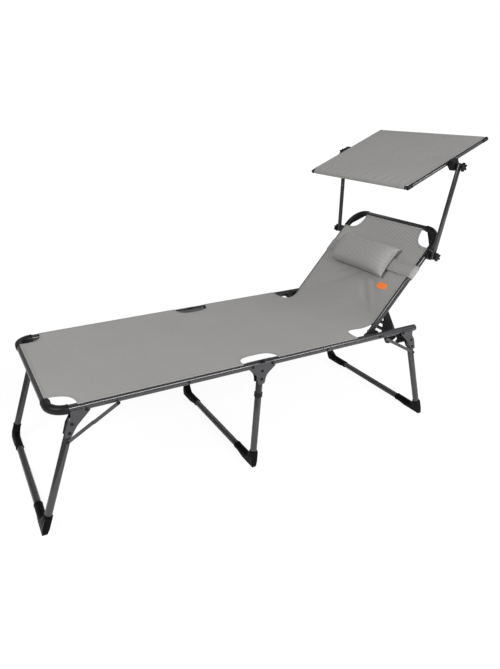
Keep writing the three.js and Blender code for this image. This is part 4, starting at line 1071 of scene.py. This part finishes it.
def bake_modifiers(piece):
    """Applies the piece's modifiers to its mesh."""
    made = bpy.data.meshes.new_from_object(piece.evaluated_get(bpy.context.evaluated_depsgraph_get()))
    old = piece.data
    piece.modifiers.clear()
    piece.data = made
    bpy.data.meshes.remove(old)


class LOUNGER_OT_tag(Operator):
    """Sew the bare orange tag on the backrest"""
    bl_idname = "lounger.tag"
    bl_label = "Tag"

    def execute(self, context):
        s = sizes()
        half_up, half_across, power = 0.0160, 0.0335, 3.4
        middle_up, middle_across = 0.220, -0.196
        t = np.linspace(0, 2 * np.pi, 72, endpoint=False)
        c, n = np.cos(t), np.sin(t)
        reach = (np.abs(c) ** power + np.abs(n) ** power) ** (-1 / power)
        shares = np.array([0.02, 0.5, 0.9, 0.97, 1.0, 1.0, 0.97, 0.9, 0.5, 0.02])[:, None]
        lift = np.array([0.0014, 0.0014, 0.0014, 0.0012, 0.0008, 0.0002, 0.0, 0.0, 0.0, 0.0])[:, None]
        y = middle_across + shares * half_across * n * reach
        over = s.back_radius + CLOTH_LIFT + 0.5 * s.cloth + 0.0002 - s.back_sag * (1 - (y / s.back_y) ** 2)
        grid = on_back(middle_up + shares * half_up * c * reach, y, over + lift)
        look = grained("orange_tag", colours().tag, 0.5, (1200.0, 2.0), (0.88, 1.1), (0.55, 0.55),
                       (1200.0, 0.0002, 0.5), 0.1)
        made = surface("backrest_tag", grid, look, wrap=True, caps=True, sharp=50)
        finish_piece(made, "backrest", "cloth")
        return {"FINISHED"}


class LOUNGER_OT_canopy_cloth(Operator):
    """Stretch the canopy's cloth between its front and rear bars"""
    bl_idname = "lounger.canopy_cloth"
    bl_label = "Canopy cloth"

    def execute(self, context):
        s = sizes()
        r, z = s.canopy_radius + 0.0012, s.canopy_drop
        front, rear = -s.canopy_front, s.canopy_rear
        count = 26
        turn = np.linspace(0, 1.65 * np.pi, count)
        middle = np.linspace(front, rear, 120)[1:-1]
        round_bar = z + r * np.cos(turn)
        along = np.concatenate([(front - r * np.sin(turn))[::-1], middle, rear + r * np.sin(turn)])
        out = np.concatenate([round_bar[::-1], np.full(len(middle), z + r), round_bar])[:, None]
        flat = run_along(np.stack([along, out[:, 0]], 1))
        # The part between the bars is wider than the part turned round them, with a smooth step of 4 mm.
        step = 0.004
        onto = np.clip(np.minimum(along - front - step, rear - step - along) / step, 0, 1)
        width = s.canopy_y - 0.017 + 0.0185 * onto * onto * (3 - 2 * onto)
        y = np.linspace(-1, 1, 140)[None, :] * width[:, None]
        half, centre = (rear - front) / 2, (rear + front) / 2
        inside = np.clip(1 - ((along - centre) / half) ** 2, 0, 1)[:, None]
        along = along[:, None]
        across = np.clip(1 - (y / s.canopy_y) ** 2, 0, 1)
        sag = 0.009 * inside * across
        ripple = 0.0011 * np.sin(y * 120 + 8 * along) * np.exp(-((along - front) / 0.06) ** 2)
        lines = 0.0010 * np.sin(along * 40 + y * 30) * inside * across
        grid = on_canopy(along, y, out - sag + ripple * np.minimum(inside * 12, 1) + lines)
        end = np.minimum(np.abs(flat - flat[count - 1]), np.abs(flat - flat[-count]))[:, None]
        edge = np.minimum(width[:, None] - np.abs(y), 0.010 + np.abs(end - 0.012))
        made = surface("canopy_sheet", grid, canopy_weave(), edge=edge)
        lay_flat(made.data, np.stack(np.broadcast_arrays(flat[:, None], y), -1))
        thicken(made, 0.0012)
        finish_piece(made, "canopy", "cloth", "canopy_cloth")
        return {"FINISHED"}


class LOUNGER_OT_stage(Operator):
    """Set the pale floor, the soft lamps and the camera"""
    bl_idname = "lounger.stage"
    bl_label = "Stage"

    def execute(self, context):
        scene = context.scene
        scene.view_settings.view_transform = "Standard"
        self.floor()
        self.world(scene)
        centre = Vector((0.0, 0.0, 0.5))
        for name, place, size, power, tilt in (
            ("key", (-3.1, -1.2, 2.9), (1.8, 1.8), 82.0, None),
            ("strip", (1.8, -3.9, 2.7), (5.6, 0.8), 195.0, 58.0),
            ("fill", (3.2, -1.6, 2.6), (2.4, 2.4), 10.0, None),
            ("back", (0.5, 3.4, 3.2), (2.0, 2.0), 10.0, None),
        ):
            lamp = bpy.data.lights.new(name, "AREA")
            lamp.energy, lamp.shape = power, "RECTANGLE"
            lamp.size, lamp.size_y = size
            obj = bpy.data.objects.new(name, lamp)
            obj.location = place
            obj.rotation_euler = ((math.radians(tilt), 0, 0) if tilt else
                                  (centre - Vector(place)).to_track_quat("-Z", "Y").to_euler())
            scene.collection.objects.link(obj)
        self.camera(scene)
        return {"FINISHED"}

    def camera(self, scene):
        """The photograph's own view: a lens of 575.1 pixels for a picture 669 pixels high."""
        camera = bpy.data.cameras.new("camera")
        camera.sensor_width, camera.lens = 36.0, 36.0 * 575.1 / 669.0
        camera.clip_start, camera.clip_end = 0.05, 100.0
        obj = bpy.data.objects.new("camera", camera)
        yaw, pitch = math.radians(28.8), math.radians(-22.3)
        forward = Vector((math.sin(yaw) * math.cos(pitch), math.cos(yaw) * math.cos(pitch), math.sin(pitch)))
        obj.location = (FOOT_X - 0.2235, -2.1623, 1.4498)
        obj.rotation_euler = forward.to_track_quat("-Z", "Y").to_euler()
        scene.collection.objects.link(obj)
        scene.camera = obj

    def floor(self):
        """A wide floor that shows as white, and keeps a soft shadow near the lounger: the glow's share of
        what the camera sees grows from 0.90 at 1 m from the middle to all of it at 3.6 m."""
        line = np.linspace(-30, 30, 3)
        grid = np.stack([*np.meshgrid(line, line, indexing="ij"), np.full((3, 3), -0.0006)], -1)

        def build(graph):
            plain = graph.nodes["Principled BSDF"].outputs[0]
            glow = graph.node("ShaderNodeEmission", {"Color": (*colours().floor, 1), "Strength": 1.035})
            place = graph.nodes.new("ShaderNodeNewGeometry").outputs["Position"]
            reach = graph.node("ShaderNodeVectorMath", {0: place}, operation="LENGTH").outputs["Value"]
            share = graph.spread(reach, 0.90, 1.0, (1.0, 3.6), interpolation_type="SMOOTHSTEP")
            inputs = {"Fac": graph.times(graph.seen(), share), 1: plain, 2: glow.outputs[0]}
            mix = graph.node("ShaderNodeMixShader", inputs)
            graph.feed(graph.nodes["Material Output"].inputs["Surface"], mix.outputs[0])
            return {"Base Color": (0.95, 0.95, 0.95, 1)}

        surface("floor", grid, finish("pale_floor", build, Roughness=0.9))

    def world(self, scene):
        """White to the camera and through clear things, a plain level of light otherwise."""
        world = bpy.data.worlds.new("studio")
        scene.world = world
        world.use_nodes = True
        graph = Graph(world.node_tree)
        background = graph.nodes["Background"]
        background.inputs["Color"].default_value = (1, 1, 1, 1)
        graph.feed(background.inputs["Strength"], graph.spread(graph.seen(), 0.30, 1.0))


STEPS = ("rails", "legs", "backrest_tube", "prop_tubes", "canopy_tubes", "fittings", "corner_mouldings",
         "bed_cloth", "pillow", "tag", "canopy_cloth", "stage")


class LOUNGER_PT_panel(Panel):
    """Lists the steps that make the lounger, and its colours and sizes"""
    bl_idname = "LOUNGER_PT_panel"
    bl_label = "Sun lounger"
    bl_space_type = "VIEW_3D"
    bl_region_type = "UI"
    bl_category = "Lounger"

    def draw(self, context):
        layout = self.layout
        for step in STEPS:
            layout.operator(f"lounger.{step}")
        for name in LoungerColours.__annotations__:
            layout.prop(context.scene.lounger_colours, name)
        for name in LoungerSizes.__annotations__:
            layout.prop(context.scene.lounger_sizes, name)


CLASSES = (
    LoungerSizes, LoungerColours, LOUNGER_OT_rails, LOUNGER_OT_legs, LOUNGER_OT_backrest_tube, LOUNGER_OT_prop,
    LOUNGER_OT_canopy_tubes, LOUNGER_OT_fittings, LOUNGER_OT_corner_mouldings, LOUNGER_OT_bed_cloth,
    LOUNGER_OT_pillow, LOUNGER_OT_tag, LOUNGER_OT_canopy_cloth, LOUNGER_OT_stage, LOUNGER_PT_panel,
)


def register():
    """Adds the classes and the scene's settings."""
    for cls in CLASSES:
        bpy.utils.register_class(cls)
    bpy.types.Scene.lounger_sizes = PointerProperty(type=LoungerSizes)
    bpy.types.Scene.lounger_colours = PointerProperty(type=LoungerColours)


def unregister():
    """Takes them away again."""
    del bpy.types.Scene.lounger_sizes
    del bpy.types.Scene.lounger_colours
    for cls in reversed(CLASSES):
        bpy.utils.unregister_class(cls)


def main():
    """Makes every piece in order."""
    register()
    for step in STEPS:
        getattr(bpy.ops.lounger, step)()


if __name__ == "__main__":
    main()
